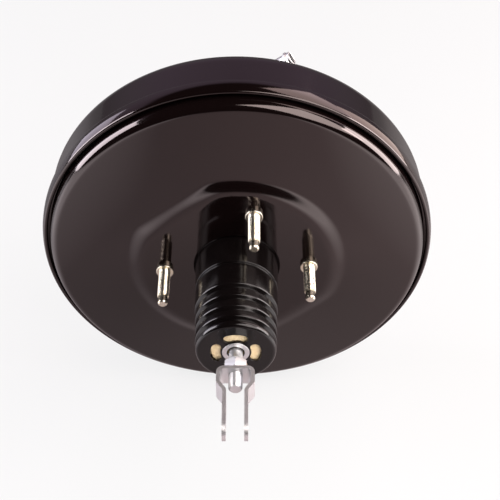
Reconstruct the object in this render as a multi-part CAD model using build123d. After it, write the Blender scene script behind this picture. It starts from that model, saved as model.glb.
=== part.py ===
from build123d import *
import os
from math import atan2, cos, degrees, hypot, radians, sin

# Vacuum brake booster, single diaphragm. Millimetres.
# +Y points forward along the push rods, from the pedal to the master cylinder, and +Z is up.
# The origin is on the booster's axis, at the pad that bears on the bulkhead.
# In a turned profile the first number is a radius and the second a place along Y.

os.makedirs("parts", exist_ok=True)

# Fits between pieces
running_clearance = 0.05
seal_clearance = 0.3
stop_clearance = 0.4
bend_margin = 0.05

# Travel of the moving pieces
piston_stroke = 32.0
piston_end_gap = 2.8
valve_lap = 1.3
check_valve_lift = 2.0

# Rear shell, the cover on the bulkhead side
rear_sheet = 1.8
rear_face_y = 1.2
rear_dish_rise = 11.6
rear_wall_depth = 12.7
rear_wall_gap = 1.8
rear_edge_bend = 7.0
neck_length = 22.0
neck_bend = 3.5
flat_bend = 40.0

# Bulkhead studs
stud_spacing_long = 80.0
stud_spacing_short = 60.0
stud_turn = 39.4
stud_r = 4.0
stud_length = 34.0
stud_collar_r = 6.0
stud_collar_t = 3.0
stud_shank_r = 6.1
stud_head_r = 8.0
stud_head_t = 2.8
stud_pilot_r = 3.25
stud_pilot_length = 6.2
stud_groove_depth = 0.35
stud_groove_width = 0.8
stud_point = 0.9

# Pad that bears on the bulkhead, raised out of the rear shell round the studs
pad_margin = 13.0
pad_flat_depth = 7.0
pad_corner = 14.0
pad_slope = 40.0
pad_overlap = 3.0
pad_hole_gap = 0.3
plate_inset = 3.0
rear_plate_t = 2.8
rear_plate_gap = 2.6

# Front shell, the pan on the engine side, with the rim that is rolled over the rear flange
front_sheet = 1.6
rim_r = 137.0
rim_step = 3.0
rim_nose_length = 7.5
rim_fold_width = 4.2
rim_fit = 0.3
shoulder_flat = 0.4
diaphragm_bead_t = 2.6
front_corner = 14.0
platform_rise = 5.0
platform_slope_width = 5.0
platform_margin = 14.8
platform_bend = 4.0
spigot_bore_r = 21.0
spigot_depth = 11.0
spigot_lip_width = 4.0
spigot_bend = 2.5
lip_bend = 1.6

# Plate and studs that carry the master cylinder
front_plate_t = 2.5
front_plate_inset = 4.8
front_plate_gap = 2.0
master_stud_spacing = 86.0
master_stud_r = 4.0
master_shank_r = 4.6
master_stud_length = 25.0
master_head_r = 7.0
master_head_t = 3.0

# Guide and seal round the power piston, in the rear shell's neck
hub_bush_wall = 5.15
hub_bush_flange_t = 2.6
hub_bush_flange_width = 1.9
hub_seal_length = 8.0
hub_seal_lip_t = 1.6
hub_retainer_t = 1.6
hub_retainer_inset = 1.4
hub_retainer_gap = 0.8

# Power piston's plastic body, from the tube inwards
tube_r = 18.5
filter_wall = 1.7
valve_wall = 3.0
seat_wall = 3.9
passage_gap = 0.2
passage_width = 2.1
passage_half_angle = 24.0
vacuum_seat_width = 0.7
vacuum_seat_height = 2.2
plunger_cavity_gap = 1.5
reaction_bore_wall = 1.3
filter_ledge_y = -52.0
poppet_depth = 9.5

# Power piston's hub, from the key forward
key_gap = 0.35
key_web = 3.0
hub_shoulder = 1.1
hub_lip_t = 2.0
hub_lip_width = 4.0
hub_r = 27.0
hub_length = 12.0
hub_chamfer = 0.7
nose_step = 7.0
nose_length = 4.0
reaction_web = 4.0
key_slot_half_width = 6.5

# Diaphragm and the plate that backs it
diaphragm_t = 1.5
diaphragm_gap = 0.2
hub_bead_length = 3.6
plate_t = 1.2
plate_depth = 17.2
plate_rise = 3.5
plate_rim_bend = 6.0
roll_width = 13.8
roll_rise = 10.4
roll_wall_gap = 0.25
retainer_sheet = 1.2
retainer_rim = 3.7
retainer_hole_r = 8.0
retainer_bend = 1.2

# Return spring of the power piston
return_spring_wire = 3.6
return_spring_turns = 4.5
return_spring_rear_gap = 3.5
return_spring_front_gap = 0.7

# Reaction disc and output rod
reaction_disc_t = 6.0
output_base_t = 3.5
output_rod_r = 6.0
output_rod_setback = 5.0
output_cone_top_r = 7.0
output_thread_r = 3.0
output_thread_depth = 14.0
output_head_t = 3.0
output_head_flats = 10.0
output_nose_r = 4.0
output_nose_length = 5.0
front_seal_t = 4.0
front_seal_chamfer = 1.0

# Control valve: plunger, ball joint, key, poppet and their springs
ball_r = 5.0
ball_hold = 2.8
cup_t = 0.85
plunger_gap = 0.3
plunger_cup_gap = 1.0
plunger_floor_t = 1.3
air_seat_inset = 0.4
air_seat_height = 0.8
air_seat_width = 0.8
seat_lift = 0.3
crimp_r = 5.3
crimp_t = 0.6
plunger_shank_r = 5.0
plunger_groove_r = 3.5
plunger_nose_gap = 0.1
key_t = 2.5
key_half_width = 6.2
key_top_z = 22.5
key_leg_z = -8.0
poppet_t = 2.2
poppet_lip = 1.6
poppet_sleeve_gap = 0.7
poppet_sleeve_t = 1.0
poppet_bead_length = 4.0
poppet_retainer_t = 1.2
poppet_retainer_hole_r = 9.0
poppet_retainer_tube_length = 6.0
poppet_spring_gap = 2.3
poppet_spring_wire = 0.9
poppet_spring_turns = 3.0

# Input rod, its return spring, and the clevis on its end
rod_r = 4.55
rod_neck_r = 3.6
rod_neck_length = 8.8
rod_collar_gap = 2.8
rod_collar_t = 2.0
rod_collar_width = 1.65
rod_past_base = 13.8
rod_point = 1.0
spring_seat_t = 1.2
spring_seat_width = 5.65
input_spring_front_gap = 3.1
input_spring_rear_gap = 1.8
input_spring_wire = 1.3
input_spring_turns = 4.0
nut_flats = 14.0
nut_t = 8.0
nut_chamfer = 0.9
clevis_sheet = 2.4
clevis_standoff = 17.2
clevis_base_width = 24.5
clevis_base_length = 13.3
clevis_slope_length = 6.0
clevis_prong_width = 16.2
clevis_reach = 45.3
clevis_pin_hole_r = 4.05
clevis_half_height = 7.4
clevis_bend = 4.0

# Filter parts in the piston's tube
filter_gap = 0.7
filter_proud = 1.5
filter_hole_r = 8.0
silencer_length = 8.0

# Boot over the neck and the piston's tube. Lobes are counted from the end wall forward.
boot_length = 80.0
boot_cuff_wall = 3.1
boot_cuff_taper = 0.6
boot_cuff_overhang = 1.0
boot_base_gap = 0.3
boot_wall = 1.8
boot_groove_depth = 2.3
boot_lobe_corner = 1.6
boot_groove_bend = 1.0
boot_groove_half = 2.0
boot_first_groove_gap = 1.0
boot_first_groove_depth = 1.2
boot_lobe_lengths = (6.0, 9.0, 9.5, 10.0)
boot_lobe_heights = (0.9, 1.4, 1.6, 1.9, 2.4)
boot_end_corner = 3.0
boot_lip_t = 1.0
boot_lip_width = 2.0
vent_gap = 4.25
vent_width = 6.5
vent_length = 16.0
end_ring_gap = 1.2
end_ring_width = 3.5
end_ring_t = 1.9
end_ring_fit = 0.15

# Check valve on the front shell
check_valve_x = 6.5
check_valve_outboard = 4.6
stem_r = 6.45
stem_bore_r = 3.5
stem_below = 3.0
grommet_wall = 3.05
grommet_flange_width = 3.5
grommet_flange_t = 2.5
grommet_inner_width = 2.0
valve_case_gap = 1.8
valve_case_wall = 2.2
valve_case_height = 15.0
valve_base_t = 2.5
check_seat_gap = 0.5
check_seat_width = 0.8
check_seat_height = 0.8
check_disc_lip = 1.7
check_disc_t = 1.8
check_stem_r = 1.5
check_spring_r = 3.4
check_spring_wire = 0.6
check_spring_turns = 4.0
nipple_axis_height = 7.0
nipple_turn = 35.0
nipple_r = 4.75
nipple_wall = 1.0
nipple_bead_height = 0.95
nipple_bead_length = 2.6
nipple_bead_back = 2.0
nipple_reach = 38.0
nipple_grip = 0.6

# Places across the axis that follow from the sizes above
rear_flange_r = rim_r - front_sheet - rim_fit
rear_wall_r = rim_r - rim_fold_width - rear_wall_gap
front_wall_r = rim_r - rim_step
shoulder_bend = (rim_step - shoulder_flat) / 2
pad_round_r = hypot(stud_spacing_long, stud_spacing_short) / 2 + pad_margin
pad_half_height = pad_round_r - pad_flat_depth
rear_flat_r = pad_round_r - pad_overlap
neck_bore_r = tube_r + running_clearance + hub_bush_wall
neck_r = neck_bore_r + rear_sheet
neck_root_r = neck_r + neck_bend - rear_sheet / 2
boot_cuff_r = neck_r + boot_cuff_wall
pad_hole_r = boot_cuff_r + pad_hole_gap
rear_plate_hole_r = pad_hole_r + rear_plate_gap
platform_r = master_stud_spacing / 2 + platform_margin
front_plate_r = platform_r - front_plate_inset
front_plate_hole_r = spigot_bore_r + front_sheet + front_plate_gap
spigot_lip_r = spigot_bore_r - spigot_lip_width
hub_lip_r = hub_r + hub_lip_width
nose_r = hub_r - nose_step
plate_rim_r = front_wall_r - front_sheet - roll_width
filter_bore_r = tube_r - filter_wall
valve_bore_r = tube_r - valve_wall
seat_bore_r = tube_r - seat_wall
passage_outer_r = seat_bore_r - passage_gap
passage_inner_r = passage_outer_r - passage_width
vacuum_seat_r = passage_inner_r - passage_gap
reaction_bore_r = passage_inner_r - reaction_bore_wall
plunger_cavity_r = vacuum_seat_r - plunger_cavity_gap
plunger_cup_r = plunger_cavity_r - plunger_cup_gap
air_seat_r = plunger_cup_r - air_seat_inset
socket_r = ball_r + running_clearance + cup_t + running_clearance
poppet_hole_r = air_seat_r - poppet_lip
poppet_sleeve_r = seat_bore_r - poppet_sleeve_gap
poppet_sleeve_bore_r = poppet_sleeve_r - poppet_sleeve_t
spring_seat_r = rod_r + spring_seat_width
end_ring_hole_r = rod_r + end_ring_gap
end_ring_r = end_ring_hole_r + end_ring_width
vent_pitch_r = end_ring_r + vent_gap
return_spring_rear_r = hub_r + retainer_sheet + return_spring_rear_gap + return_spring_wire / 2
master_head_inner_r = master_stud_spacing / 2 - master_head_r
return_spring_front_r = master_head_inner_r - return_spring_front_gap - return_spring_wire / 2
retainer_flange_r = return_spring_rear_r + return_spring_wire / 2 + retainer_rim
check_valve_z = (
    platform_r + platform_slope_width + front_wall_r - front_corner
) / 2 + check_valve_outboard
grommet_neck_r = stem_r + grommet_wall
check_seat_r = stem_bore_r + check_seat_gap + check_seat_width
check_disc_r = check_seat_r + check_disc_lip
valve_case_r = check_disc_r + valve_case_gap + valve_case_wall

# Places along the axis: the rear shell, the key, and back through the control valve
rear_inner_y = rear_sheet
rear_plate_front_y = rear_inner_y + rear_plate_t
rear_edge_y = rear_face_y + rear_dish_rise
rear_flange_y = rear_edge_y + rear_wall_depth
rear_flange_front_y = rear_flange_y + rear_sheet
neck_end_y = -neck_length
hub_seal_rear_y = neck_end_y + hub_retainer_inset + hub_retainer_t
hub_bush_rear_y = hub_seal_rear_y + hub_seal_length
hub_bush_front_y = rear_face_y + rear_sheet
key_rear_y = hub_bush_front_y + hub_bush_flange_t + key_gap
key_slot_y = key_rear_y - stop_clearance - running_clearance
key_slot_length = key_t + 2 * (stop_clearance + running_clearance)
plunger_cavity_y = key_slot_y - key_web
plunger_front_y = plunger_cavity_y - plunger_gap - valve_lap
ball_y = plunger_front_y - cup_t - plunger_floor_t - socket_r
plunger_rear_y = ball_y - ball_hold
air_seat_y = plunger_rear_y - air_seat_height
vacuum_seat_y = air_seat_y + seat_lift
seat_floor_y = vacuum_seat_y + vacuum_seat_height
poppet_ledge_y = vacuum_seat_y - poppet_depth
poppet_bead_end_y = poppet_ledge_y - poppet_bead_length

# Places along the axis: the hub, the diaphragm, and the front shell at the end of the stroke
hub_rear_y = key_slot_y + key_slot_length + hub_shoulder
hub_groove_y = hub_rear_y + hub_lip_t
hub_front_y = hub_groove_y + hub_length
nose_y = hub_front_y + nose_length
reaction_floor_y = hub_rear_y + reaction_web
plate_rear_y = hub_groove_y + hub_bead_length
plate_front_y = plate_rear_y + plate_t
plate_rim_y = plate_front_y + plate_depth
roll_top_y = plate_rim_y + roll_rise
spring_seat_y = plate_front_y + retainer_sheet
spigot_end_y = nose_y + retainer_sheet + piston_stroke + piston_end_gap
platform_y = spigot_end_y + spigot_depth
front_face_y = platform_y - platform_rise
front_inner_y = front_face_y - front_sheet
platform_inner_y = platform_y - front_sheet
front_plate_rear_y = platform_inner_y - front_plate_t
rim_nose_y = rear_flange_y - rim_nose_length
shoulder_y = rear_flange_front_y + diaphragm_bead_t
output_rod_end_y = platform_y - output_rod_setback

# Places along the axis: the boot, the filter, the rod and the clevis behind the bulkhead
boot_end_y = -boot_length
boot_cuff_end_y = neck_end_y - boot_cuff_overhang
boot_lip_front_y = boot_end_y + boot_wall + boot_lip_t
filter_rear_y = boot_lip_front_y + filter_gap
tube_end_y = filter_rear_y + filter_proud
rod_neck_end_y = ball_y - rod_neck_length
rod_collar_y = filter_ledge_y + rod_collar_gap
clevis_base_y = boot_end_y - clevis_standoff
clevis_shoulder_y = clevis_base_y - clevis_base_length
clevis_prong_start_y = clevis_shoulder_y - clevis_slope_length
clevis_pin_y = clevis_base_y - clevis_reach
rod_end_y = clevis_base_y - rod_past_base

# Places along the axis: the check valve, stacked on the front face
grommet_outer_y = front_face_y + grommet_flange_t
grommet_inner_y = front_inner_y - grommet_flange_t
check_base_y = grommet_outer_y + running_clearance
check_case_y = check_base_y + valve_base_t
check_roof_y = check_case_y + valve_case_height - valve_case_wall
check_seat_y = check_case_y + check_seat_height
check_disc_top_y = check_seat_y + check_disc_t


def turned(*corners):
    """A solid turned about the booster's axis from its corners as (radius, y)."""
    return revolve(make_face(Polyline(*corners, close=True)), Axis.Y)


def tube(inner_r, outer_r, start_y, end_y):
    """A plain ring between two radii and two places along the axis."""
    return turned((inner_r, start_y), (outer_r, start_y), (outer_r, end_y), (inner_r, end_y))


def rod(radius, start_y, end_y):
    """A plain round bar on the axis."""
    return turned((0, start_y), (radius, start_y), (radius, end_y), (0, end_y))


def pressed(middle_line, bends, sheet):
    """A sheet pressing: its middle line as (radius, y), bent at each corner, turned about the axis."""
    line = FilletPolyline(*middle_line, radius=bends)
    return revolve(trace(line, sheet), Axis.Y)


def facing_rear(y):
    """A sketch plane across the axis at y, with X to the right and Z up."""
    return Plane(origin=(0, y, 0), x_dir=(1, 0, 0), z_dir=(0, -1, 0))


def across(sketch, start_y, end_y):
    """A flat outline drawn in X and Z, made solid between two places along Y."""
    return extrude(facing_rear(start_y) * sketch, amount=start_y - end_y)


def coil(start_r, end_r, wire, start_y, end_y, turns):
    """A coil spring on the axis that just fits between its two seats."""
    height = end_y - start_y - wire
    path = Helix(
        pitch=height / turns,
        height=height,
        radius=start_r,
        center=(0, start_y + wire / 2, 0),
        direction=(0, 1, 0),
        cone_angle=degrees(atan2(end_r - start_r, height)),
    )
    section = Plane(origin=path @ 0, z_dir=path % 0) * Circle(wire / 2)
    return sweep(section, path=path, is_frenet=True)


def at_check_valve(solid):
    """A piece turned on the booster's axis, moved to the check valve's axis."""
    return Pos(check_valve_x, 0, check_valve_z) * solid


def save(name, solid):
    """One file for one named piece."""
    export_step(solid, f"parts/{name}.step")


def stud_places():
    """The four bulkhead studs: a rectangle turned about the axis, as (x, z)."""
    turn = radians(stud_turn)
    for u in (-stud_spacing_long / 2, stud_spacing_long / 2):
        for v in (-stud_spacing_short / 2, stud_spacing_short / 2):
            yield u * cos(turn) - v * sin(turn), u * sin(turn) + v * cos(turn)


def pad_outline(inset):
    """The bulkhead pad seen along the axis: a disc with two sides cut flat."""
    disc = Circle(pad_round_r - inset)
    strip = Rectangle(3 * pad_round_r, 2 * (pad_half_height - inset))
    outline = disc & strip
    outline = fillet(outline.vertices(), pad_corner - inset)
    return Rot(0, 0, stud_turn) * outline


# Rear shell: a pressed dish with the neck, the raised pad, and the flange that the rim holds
def rear_shell():
    half = rear_sheet / 2
    shell = pressed(
        [
            (neck_r - half, neck_end_y),
            (neck_r - half, rear_face_y + half),
            (rear_flat_r, rear_face_y + half),
            (rear_wall_r - half, rear_edge_y + half),
            (rear_wall_r - half, rear_flange_y + half),
            (rear_flange_r, rear_flange_y + half),
        ],
        [neck_bend, flat_bend, rear_edge_bend - half, rear_sheet],
        rear_sheet,
    )
    pad = extrude(
        facing_rear(0) * pad_outline(0),
        amount=-(rear_face_y + half),
        taper=-pad_slope,
    )
    pad -= rod(pad_hole_r, -half, rear_face_y + rear_sheet)
    recess = across(pad_outline(plate_inset), rear_inner_y, rear_face_y + 2 * rear_sheet)
    recess -= rod(rear_plate_hole_r, rear_inner_y, rear_face_y + 2 * rear_sheet)
    shell = shell + pad - recess
    for x, z in stud_places():
        shell -= Pos(x, 0, z) * rod(stud_shank_r, -half, rear_plate_front_y)
    return shell


# Plate inside the pad that the bulkhead studs are clinched into
def rear_reinforcement_plate():
    plate = across(pad_outline(plate_inset), rear_inner_y, rear_plate_front_y)
    plate -= rod(rear_plate_hole_r, rear_inner_y, rear_plate_front_y)
    for x, z in stud_places():
        plate -= Pos(x, 0, z) * rod(stud_shank_r, rear_inner_y, rear_plate_front_y)
    return plate


# Studs with a head inside the plate, a collar on the pad, and a pilot point
def bulkhead_studs():
    tip = -stud_length
    groove = tip + stud_pilot_length
    groove_r = stud_pilot_r - stud_groove_depth
    stud = turned(
        (0, tip),
        (stud_pilot_r - stud_point, tip),
        (stud_pilot_r, tip + stud_point),
        (stud_pilot_r, groove),
        (groove_r, groove),
        (groove_r, groove + stud_groove_width),
        (stud_r - stud_point / 2, groove + stud_groove_width),
        (stud_r, groove + stud_groove_width + stud_point / 2),
        (stud_r, -stud_collar_t),
        (stud_collar_r, -stud_collar_t),
        (stud_collar_r, 0),
        (stud_shank_r, 0),
        (stud_shank_r, rear_plate_front_y),
        (stud_head_r, rear_plate_front_y),
        (stud_head_r, rear_plate_front_y + stud_head_t),
        (0, rear_plate_front_y + stud_head_t),
    )
    return Compound([Pos(x, 0, z) * stud for x, z in stud_places()])


# Front shell: a deep pressed pan whose rim is rolled in over the rear shell's flange
def front_shell():
    half = front_sheet / 2
    fold_r = rim_r - rim_fold_width
    fold_bend = (rim_fold_width - front_sheet) / 2 - bend_margin
    slope_r = platform_r + platform_slope_width
    shell = pressed(
        [
            (fold_r + half, rear_flange_y),
            (fold_r + half, rim_nose_y + half),
            (rim_r - half, rim_nose_y + half),
            (rim_r - half, shoulder_y + half),
            (front_wall_r - half, shoulder_y + half),
            (front_wall_r - half, front_face_y - half),
            (slope_r, front_face_y - half),
            (platform_r, platform_y - half),
            (spigot_bore_r + half, platform_y - half),
            (spigot_bore_r + half, spigot_end_y + half),
            (spigot_lip_r, spigot_end_y + half),
        ],
        [
            fold_bend,
            fold_bend,
            shoulder_bend,
            shoulder_bend,
            front_corner - half,
            platform_bend,
            platform_bend,
            spigot_bend,
            lip_bend,
        ],
        front_sheet,
    )
    for side in (-1, 1):
        x = side * master_stud_spacing / 2
        shell -= Pos(x, 0, 0) * rod(master_shank_r, platform_inner_y, platform_y)
    hole = rod(grommet_neck_r, front_inner_y - front_sheet, front_face_y + front_sheet)
    return shell - at_check_valve(hole)


# Ring inside the front shell that spreads the master cylinder's load
def front_reinforcement_plate():
    plate = tube(front_plate_hole_r, front_plate_r, front_plate_rear_y, platform_inner_y)
    for side in (-1, 1):
        x = side * master_stud_spacing / 2
        plate -= Pos(x, 0, 0) * rod(master_shank_r, front_plate_rear_y, platform_inner_y)
    return plate


# The two studs that the master cylinder is bolted to
def master_cylinder_studs():
    tip = platform_y + master_stud_length
    stud = turned(
        (0, front_plate_rear_y - master_head_t),
        (master_head_r, front_plate_rear_y - master_head_t),
        (master_head_r, front_plate_rear_y),
        (master_shank_r, front_plate_rear_y),
        (master_shank_r, platform_y),
        (master_stud_r, platform_y),
        (master_stud_r, tip - stud_point),
        (master_stud_r - stud_point, tip),
        (0, tip),
    )
    half = master_stud_spacing / 2
    return Compound([Pos(x, 0, 0) * stud for x in (-half, half)])


# Nylon guide ring that the piston's tube slides in, with the flange that stops the key
def hub_bush():
    inner = tube_r + running_clearance
    return turned(
        (inner, hub_bush_rear_y),
        (neck_bore_r, hub_bush_rear_y),
        (neck_bore_r, hub_bush_front_y),
        (neck_r + hub_bush_flange_width, hub_bush_front_y),
        (neck_r + hub_bush_flange_width, hub_bush_front_y + hub_bush_flange_t),
        (inner, hub_bush_front_y + hub_bush_flange_t),
    )


# Rubber seal behind the guide ring, a U in section with one lip on the tube
def hub_seal():
    rear = hub_seal_rear_y
    inner = tube_r + seal_clearance
    return turned(
        (inner, rear),
        (inner + hub_seal_lip_t, rear),
        (inner + hub_seal_lip_t, hub_bush_rear_y - hub_seal_lip_t),
        (neck_bore_r - hub_seal_lip_t, hub_bush_rear_y - hub_seal_lip_t),
        (neck_bore_r - hub_seal_lip_t, rear),
        (neck_bore_r, rear),
        (neck_bore_r, hub_bush_rear_y),
        (inner, hub_bush_rear_y),
    )


# Steel washer pressed into the neck behind the seal
def hub_seal_retainer():
    return tube(
        tube_r + hub_retainer_gap, neck_bore_r, hub_seal_rear_y - hub_retainer_t, hub_seal_rear_y
    )


def vacuum_passages():
    """The two curved passages through the piston, seen along the axis."""
    middle_r = (passage_inner_r + passage_outer_r) / 2
    for side in (0, 180):
        arc = CenterArc((0, 0), middle_r, side - passage_half_angle, 2 * passage_half_angle)
        yield SlotArc(arc, passage_width)


# Plastic body of the power piston: tube, valve chamber, hub and nose in one moulding
def valve_body():
    body = turned(
        (filter_bore_r, tube_end_y),
        (tube_r, tube_end_y),
        (tube_r, hub_rear_y),
        (hub_lip_r, hub_rear_y),
        (hub_lip_r, hub_groove_y),
        (hub_r, hub_groove_y),
        (hub_r, hub_front_y - hub_chamfer),
        (hub_r - hub_chamfer, hub_front_y),
        (nose_r, hub_front_y),
        (nose_r, nose_y - hub_chamfer),
        (nose_r - hub_chamfer, nose_y),
        (reaction_bore_r, nose_y),
        (reaction_bore_r, reaction_floor_y),
        (plunger_shank_r + running_clearance, reaction_floor_y),
        (plunger_shank_r + running_clearance, plunger_cavity_y),
        (plunger_cavity_r, plunger_cavity_y),
        (plunger_cavity_r, seat_floor_y),
        (vacuum_seat_r - vacuum_seat_width, seat_floor_y),
        (vacuum_seat_r - vacuum_seat_width, vacuum_seat_y),
        (vacuum_seat_r, vacuum_seat_y),
        (vacuum_seat_r, seat_floor_y),
        (seat_bore_r, seat_floor_y),
        (seat_bore_r, poppet_ledge_y),
        (valve_bore_r, poppet_ledge_y),
        (valve_bore_r, filter_ledge_y),
        (filter_bore_r, filter_ledge_y),
    )
    for passage in vacuum_passages():
        body -= across(passage, seat_floor_y, nose_y)
    slot = Box(
        2 * key_slot_half_width,
        key_slot_length,
        2 * tube_r,
        align=(Align.CENTER, Align.MIN, Align.MIN),
    )
    return body - Pos(0, key_slot_y, key_leg_z) * slot


# Steel disc that carries the diaphragm's push to the hub
def diaphragm_plate():
    half = plate_t / 2
    return pressed(
        [
            (hub_r, plate_rear_y + half),
            (rear_flat_r, plate_rear_y + half),
            (plate_rim_r - half, plate_rear_y + plate_rise + half),
            (plate_rim_r - half, plate_rim_y),
        ],
        [flat_bend, plate_rim_bend],
        plate_t,
    )


# Rubber diaphragm: outer bead, roll between wall and plate, skin behind the plate, hub bead
def diaphragm():
    half = diaphragm_t / 2
    wall_r = front_wall_r - front_sheet - roll_wall_gap - half
    plate_side_r = plate_rim_r + diaphragm_gap + half
    roll = (wall_r - plate_side_r) / 2
    back_y = plate_rear_y - diaphragm_gap - half
    bead_y = rear_flange_front_y + diaphragm_bead_t / 2
    skin = pressed(
        [
            (front_wall_r, bead_y),
            (wall_r, bead_y),
            (wall_r, roll_top_y - half),
            (plate_side_r, roll_top_y - half),
            (plate_side_r, back_y + plate_rise),
            (rear_flat_r, back_y),
            (hub_lip_r - half, back_y),
        ],
        [half, roll - bend_margin, roll - bend_margin, plate_rim_bend + half, flat_bend],
        diaphragm_t,
    )
    bead_outer_r = rim_r - front_sheet
    bead = turned(
        (front_wall_r - front_sheet, rear_flange_front_y),
        (bead_outer_r, rear_flange_front_y),
        (bead_outer_r, shoulder_y - shoulder_bend),
        (bead_outer_r - shoulder_bend / 2, shoulder_y),
        (front_wall_r - front_sheet, shoulder_y),
    )
    hub_bead = tube(hub_r, hub_lip_r, hub_groove_y, plate_rear_y)
    return skin + bead + hub_bead


# Stepped steel cap over the hub's nose that clamps the plate and seats the return spring
def plate_retainer():
    half = retainer_sheet / 2
    cap = pressed(
        [
            (retainer_flange_r, plate_front_y + half),
            (hub_r + half, plate_front_y + half),
            (hub_r + half, hub_front_y + half),
            (nose_r + half, hub_front_y + half),
            (nose_r + half, nose_y + half),
            (retainer_hole_r, nose_y + half),
        ],
        retainer_bend,
        retainer_sheet,
    )
    for passage in vacuum_passages():
        cap -= across(passage, nose_y - retainer_sheet, nose_y + 2 * retainer_sheet)
    return cap


# Coil spring that pushes the power piston back
def return_spring():
    return coil(
        return_spring_rear_r,
        return_spring_front_r,
        return_spring_wire,
        spring_seat_y,
        front_plate_rear_y,
        return_spring_turns,
    )


# Rubber disc that shares the load between plunger and piston
def reaction_disc():
    return rod(reaction_bore_r, reaction_floor_y, reaction_floor_y + reaction_disc_t)


# Steel rod that pushes the master cylinder's piston
def output_rod():
    base_y = reaction_floor_y + reaction_disc_t
    return turned(
        (0, base_y),
        (reaction_bore_r, base_y),
        (reaction_bore_r, base_y + output_base_t),
        (output_cone_top_r, nose_y - stop_clearance),
        (output_rod_r, nose_y - stop_clearance),
        (output_rod_r, output_rod_end_y),
        (output_thread_r, output_rod_end_y),
        (output_thread_r, output_rod_end_y - output_thread_depth),
        (0, output_rod_end_y - output_thread_depth),
    )


# Hexagon screw in the output rod's end that sets its length, with a round nose
def output_rod_screw():
    head_y = output_rod_end_y + output_head_t
    tip_y = head_y + output_nose_length
    shank = rod(output_thread_r, output_rod_end_y - output_thread_depth, output_rod_end_y)
    hexagon = RegularPolygon(output_head_flats / 2, 6, major_radius=False)
    head = across(hexagon, output_rod_end_y, head_y)
    nose = turned(
        (0, head_y),
        (output_nose_r, head_y),
        (output_nose_r, tip_y - stud_point),
        (output_nose_r - stud_point, tip_y),
        (0, tip_y),
    )
    return shank + head + nose


# Rubber seal in the spigot recess, with a lip round the output rod
def front_seal():
    rear = spigot_end_y + front_sheet
    inner = output_rod_r + seal_clearance
    return turned(
        (inner, rear),
        (spigot_bore_r - front_seal_chamfer, rear),
        (spigot_bore_r, rear + front_seal_chamfer),
        (spigot_bore_r, rear + front_seal_t),
        (spigot_lip_r, rear + front_seal_t),
        (spigot_lip_r - front_seal_t / 2, rear + front_seal_t / 2),
        (inner + front_seal_t / 2, rear + front_seal_t / 2),
        (inner + front_seal_t / 4, rear + front_seal_t),
        (inner, rear + front_seal_t),
    )


# Plunger that the input rod pushes: a shank, the key's groove, and a cup with the air seat
def valve_plunger():
    groove_start = key_rear_y - valve_lap - running_clearance
    groove_end = key_rear_y + key_t + running_clearance
    nose_end = reaction_floor_y - valve_lap - plunger_nose_gap
    floor_y = ball_y + socket_r
    cup_front_y = floor_y + plunger_floor_t
    return turned(
        (0, floor_y),
        (socket_r, floor_y),
        (socket_r, plunger_rear_y),
        (crimp_r, plunger_rear_y),
        (crimp_r, plunger_rear_y - crimp_t),
        (socket_r + crimp_t, plunger_rear_y - crimp_t),
        (socket_r + crimp_t, plunger_rear_y),
        (air_seat_r - air_seat_width, plunger_rear_y),
        (air_seat_r - air_seat_width, air_seat_y),
        (air_seat_r, air_seat_y),
        (air_seat_r, plunger_rear_y),
        (plunger_cup_r, plunger_rear_y),
        (plunger_cup_r, cup_front_y),
        (plunger_shank_r, plunger_front_y),
        (plunger_shank_r, groove_start),
        (plunger_groove_r, groove_start),
        (plunger_groove_r, groove_end),
        (plunger_shank_r, groove_end),
        (plunger_shank_r, nose_end),
        (0, nose_end),
    )


# Nylon cup that the rod's ball is held in
def ball_cup():
    outer = socket_r - running_clearance
    front = ball_y + outer
    rear = plunger_rear_y + running_clearance
    cup = rod(outer, rear, front)
    socket = Pos(0, ball_y, 0) * Sphere(ball_r + running_clearance)
    return cup - socket


# Steel key through the piston's body that holds the plunger in and stops on the guide ring
def stop_key():
    height = key_top_z - key_leg_z
    blank = Pos(0, (key_top_z + key_leg_z) / 2) * Rectangle(2 * key_half_width, height)
    gap = plunger_groove_r + seal_clearance
    slot = Circle(gap) + Pos(0, key_leg_z) * Rectangle(2 * gap, -2 * key_leg_z)
    return across(blank - slot, key_rear_y, key_rear_y + key_t)


# Rubber poppet that opens and shuts the vacuum and air seats
def poppet_valve():
    return turned(
        (poppet_hole_r, air_seat_y - poppet_t),
        (poppet_sleeve_bore_r, air_seat_y - poppet_t),
        (poppet_sleeve_bore_r, poppet_bead_end_y),
        (valve_bore_r, poppet_bead_end_y),
        (valve_bore_r, poppet_ledge_y),
        (poppet_sleeve_r, poppet_ledge_y),
        (poppet_sleeve_r, air_seat_y - poppet_sleeve_t / 2),
        (poppet_sleeve_r - poppet_sleeve_t / 2, air_seat_y),
        (poppet_hole_r, air_seat_y),
    )


# Steel cup that holds the poppet's bead and seats the two small springs
def poppet_retainer():
    front = poppet_bead_end_y
    inner = poppet_sleeve_bore_r
    return turned(
        (poppet_retainer_hole_r, front - poppet_retainer_t),
        (valve_bore_r, front - poppet_retainer_t),
        (valve_bore_r, front),
        (inner, front),
        (inner, front + poppet_retainer_tube_length),
        (inner - poppet_retainer_t / 2, front + poppet_retainer_tube_length),
        (inner - poppet_retainer_t / 2, front),
        (poppet_retainer_hole_r, front),
    )


# Light spring that keeps the poppet against the seats
def poppet_spring():
    radius = poppet_sleeve_bore_r - poppet_spring_gap
    return coil(
        radius,
        radius,
        poppet_spring_wire,
        poppet_bead_end_y,
        air_seat_y - poppet_t,
        poppet_spring_turns,
    )


# Tapered spring that pushes the input rod back
def input_return_spring():
    seat = rod_collar_y + rod_collar_t + spring_seat_t
    return coil(
        spring_seat_r - input_spring_rear_gap,
        valve_bore_r - input_spring_front_gap,
        input_spring_wire,
        seat,
        poppet_bead_end_y - poppet_retainer_t,
        input_spring_turns,
    )


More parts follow.
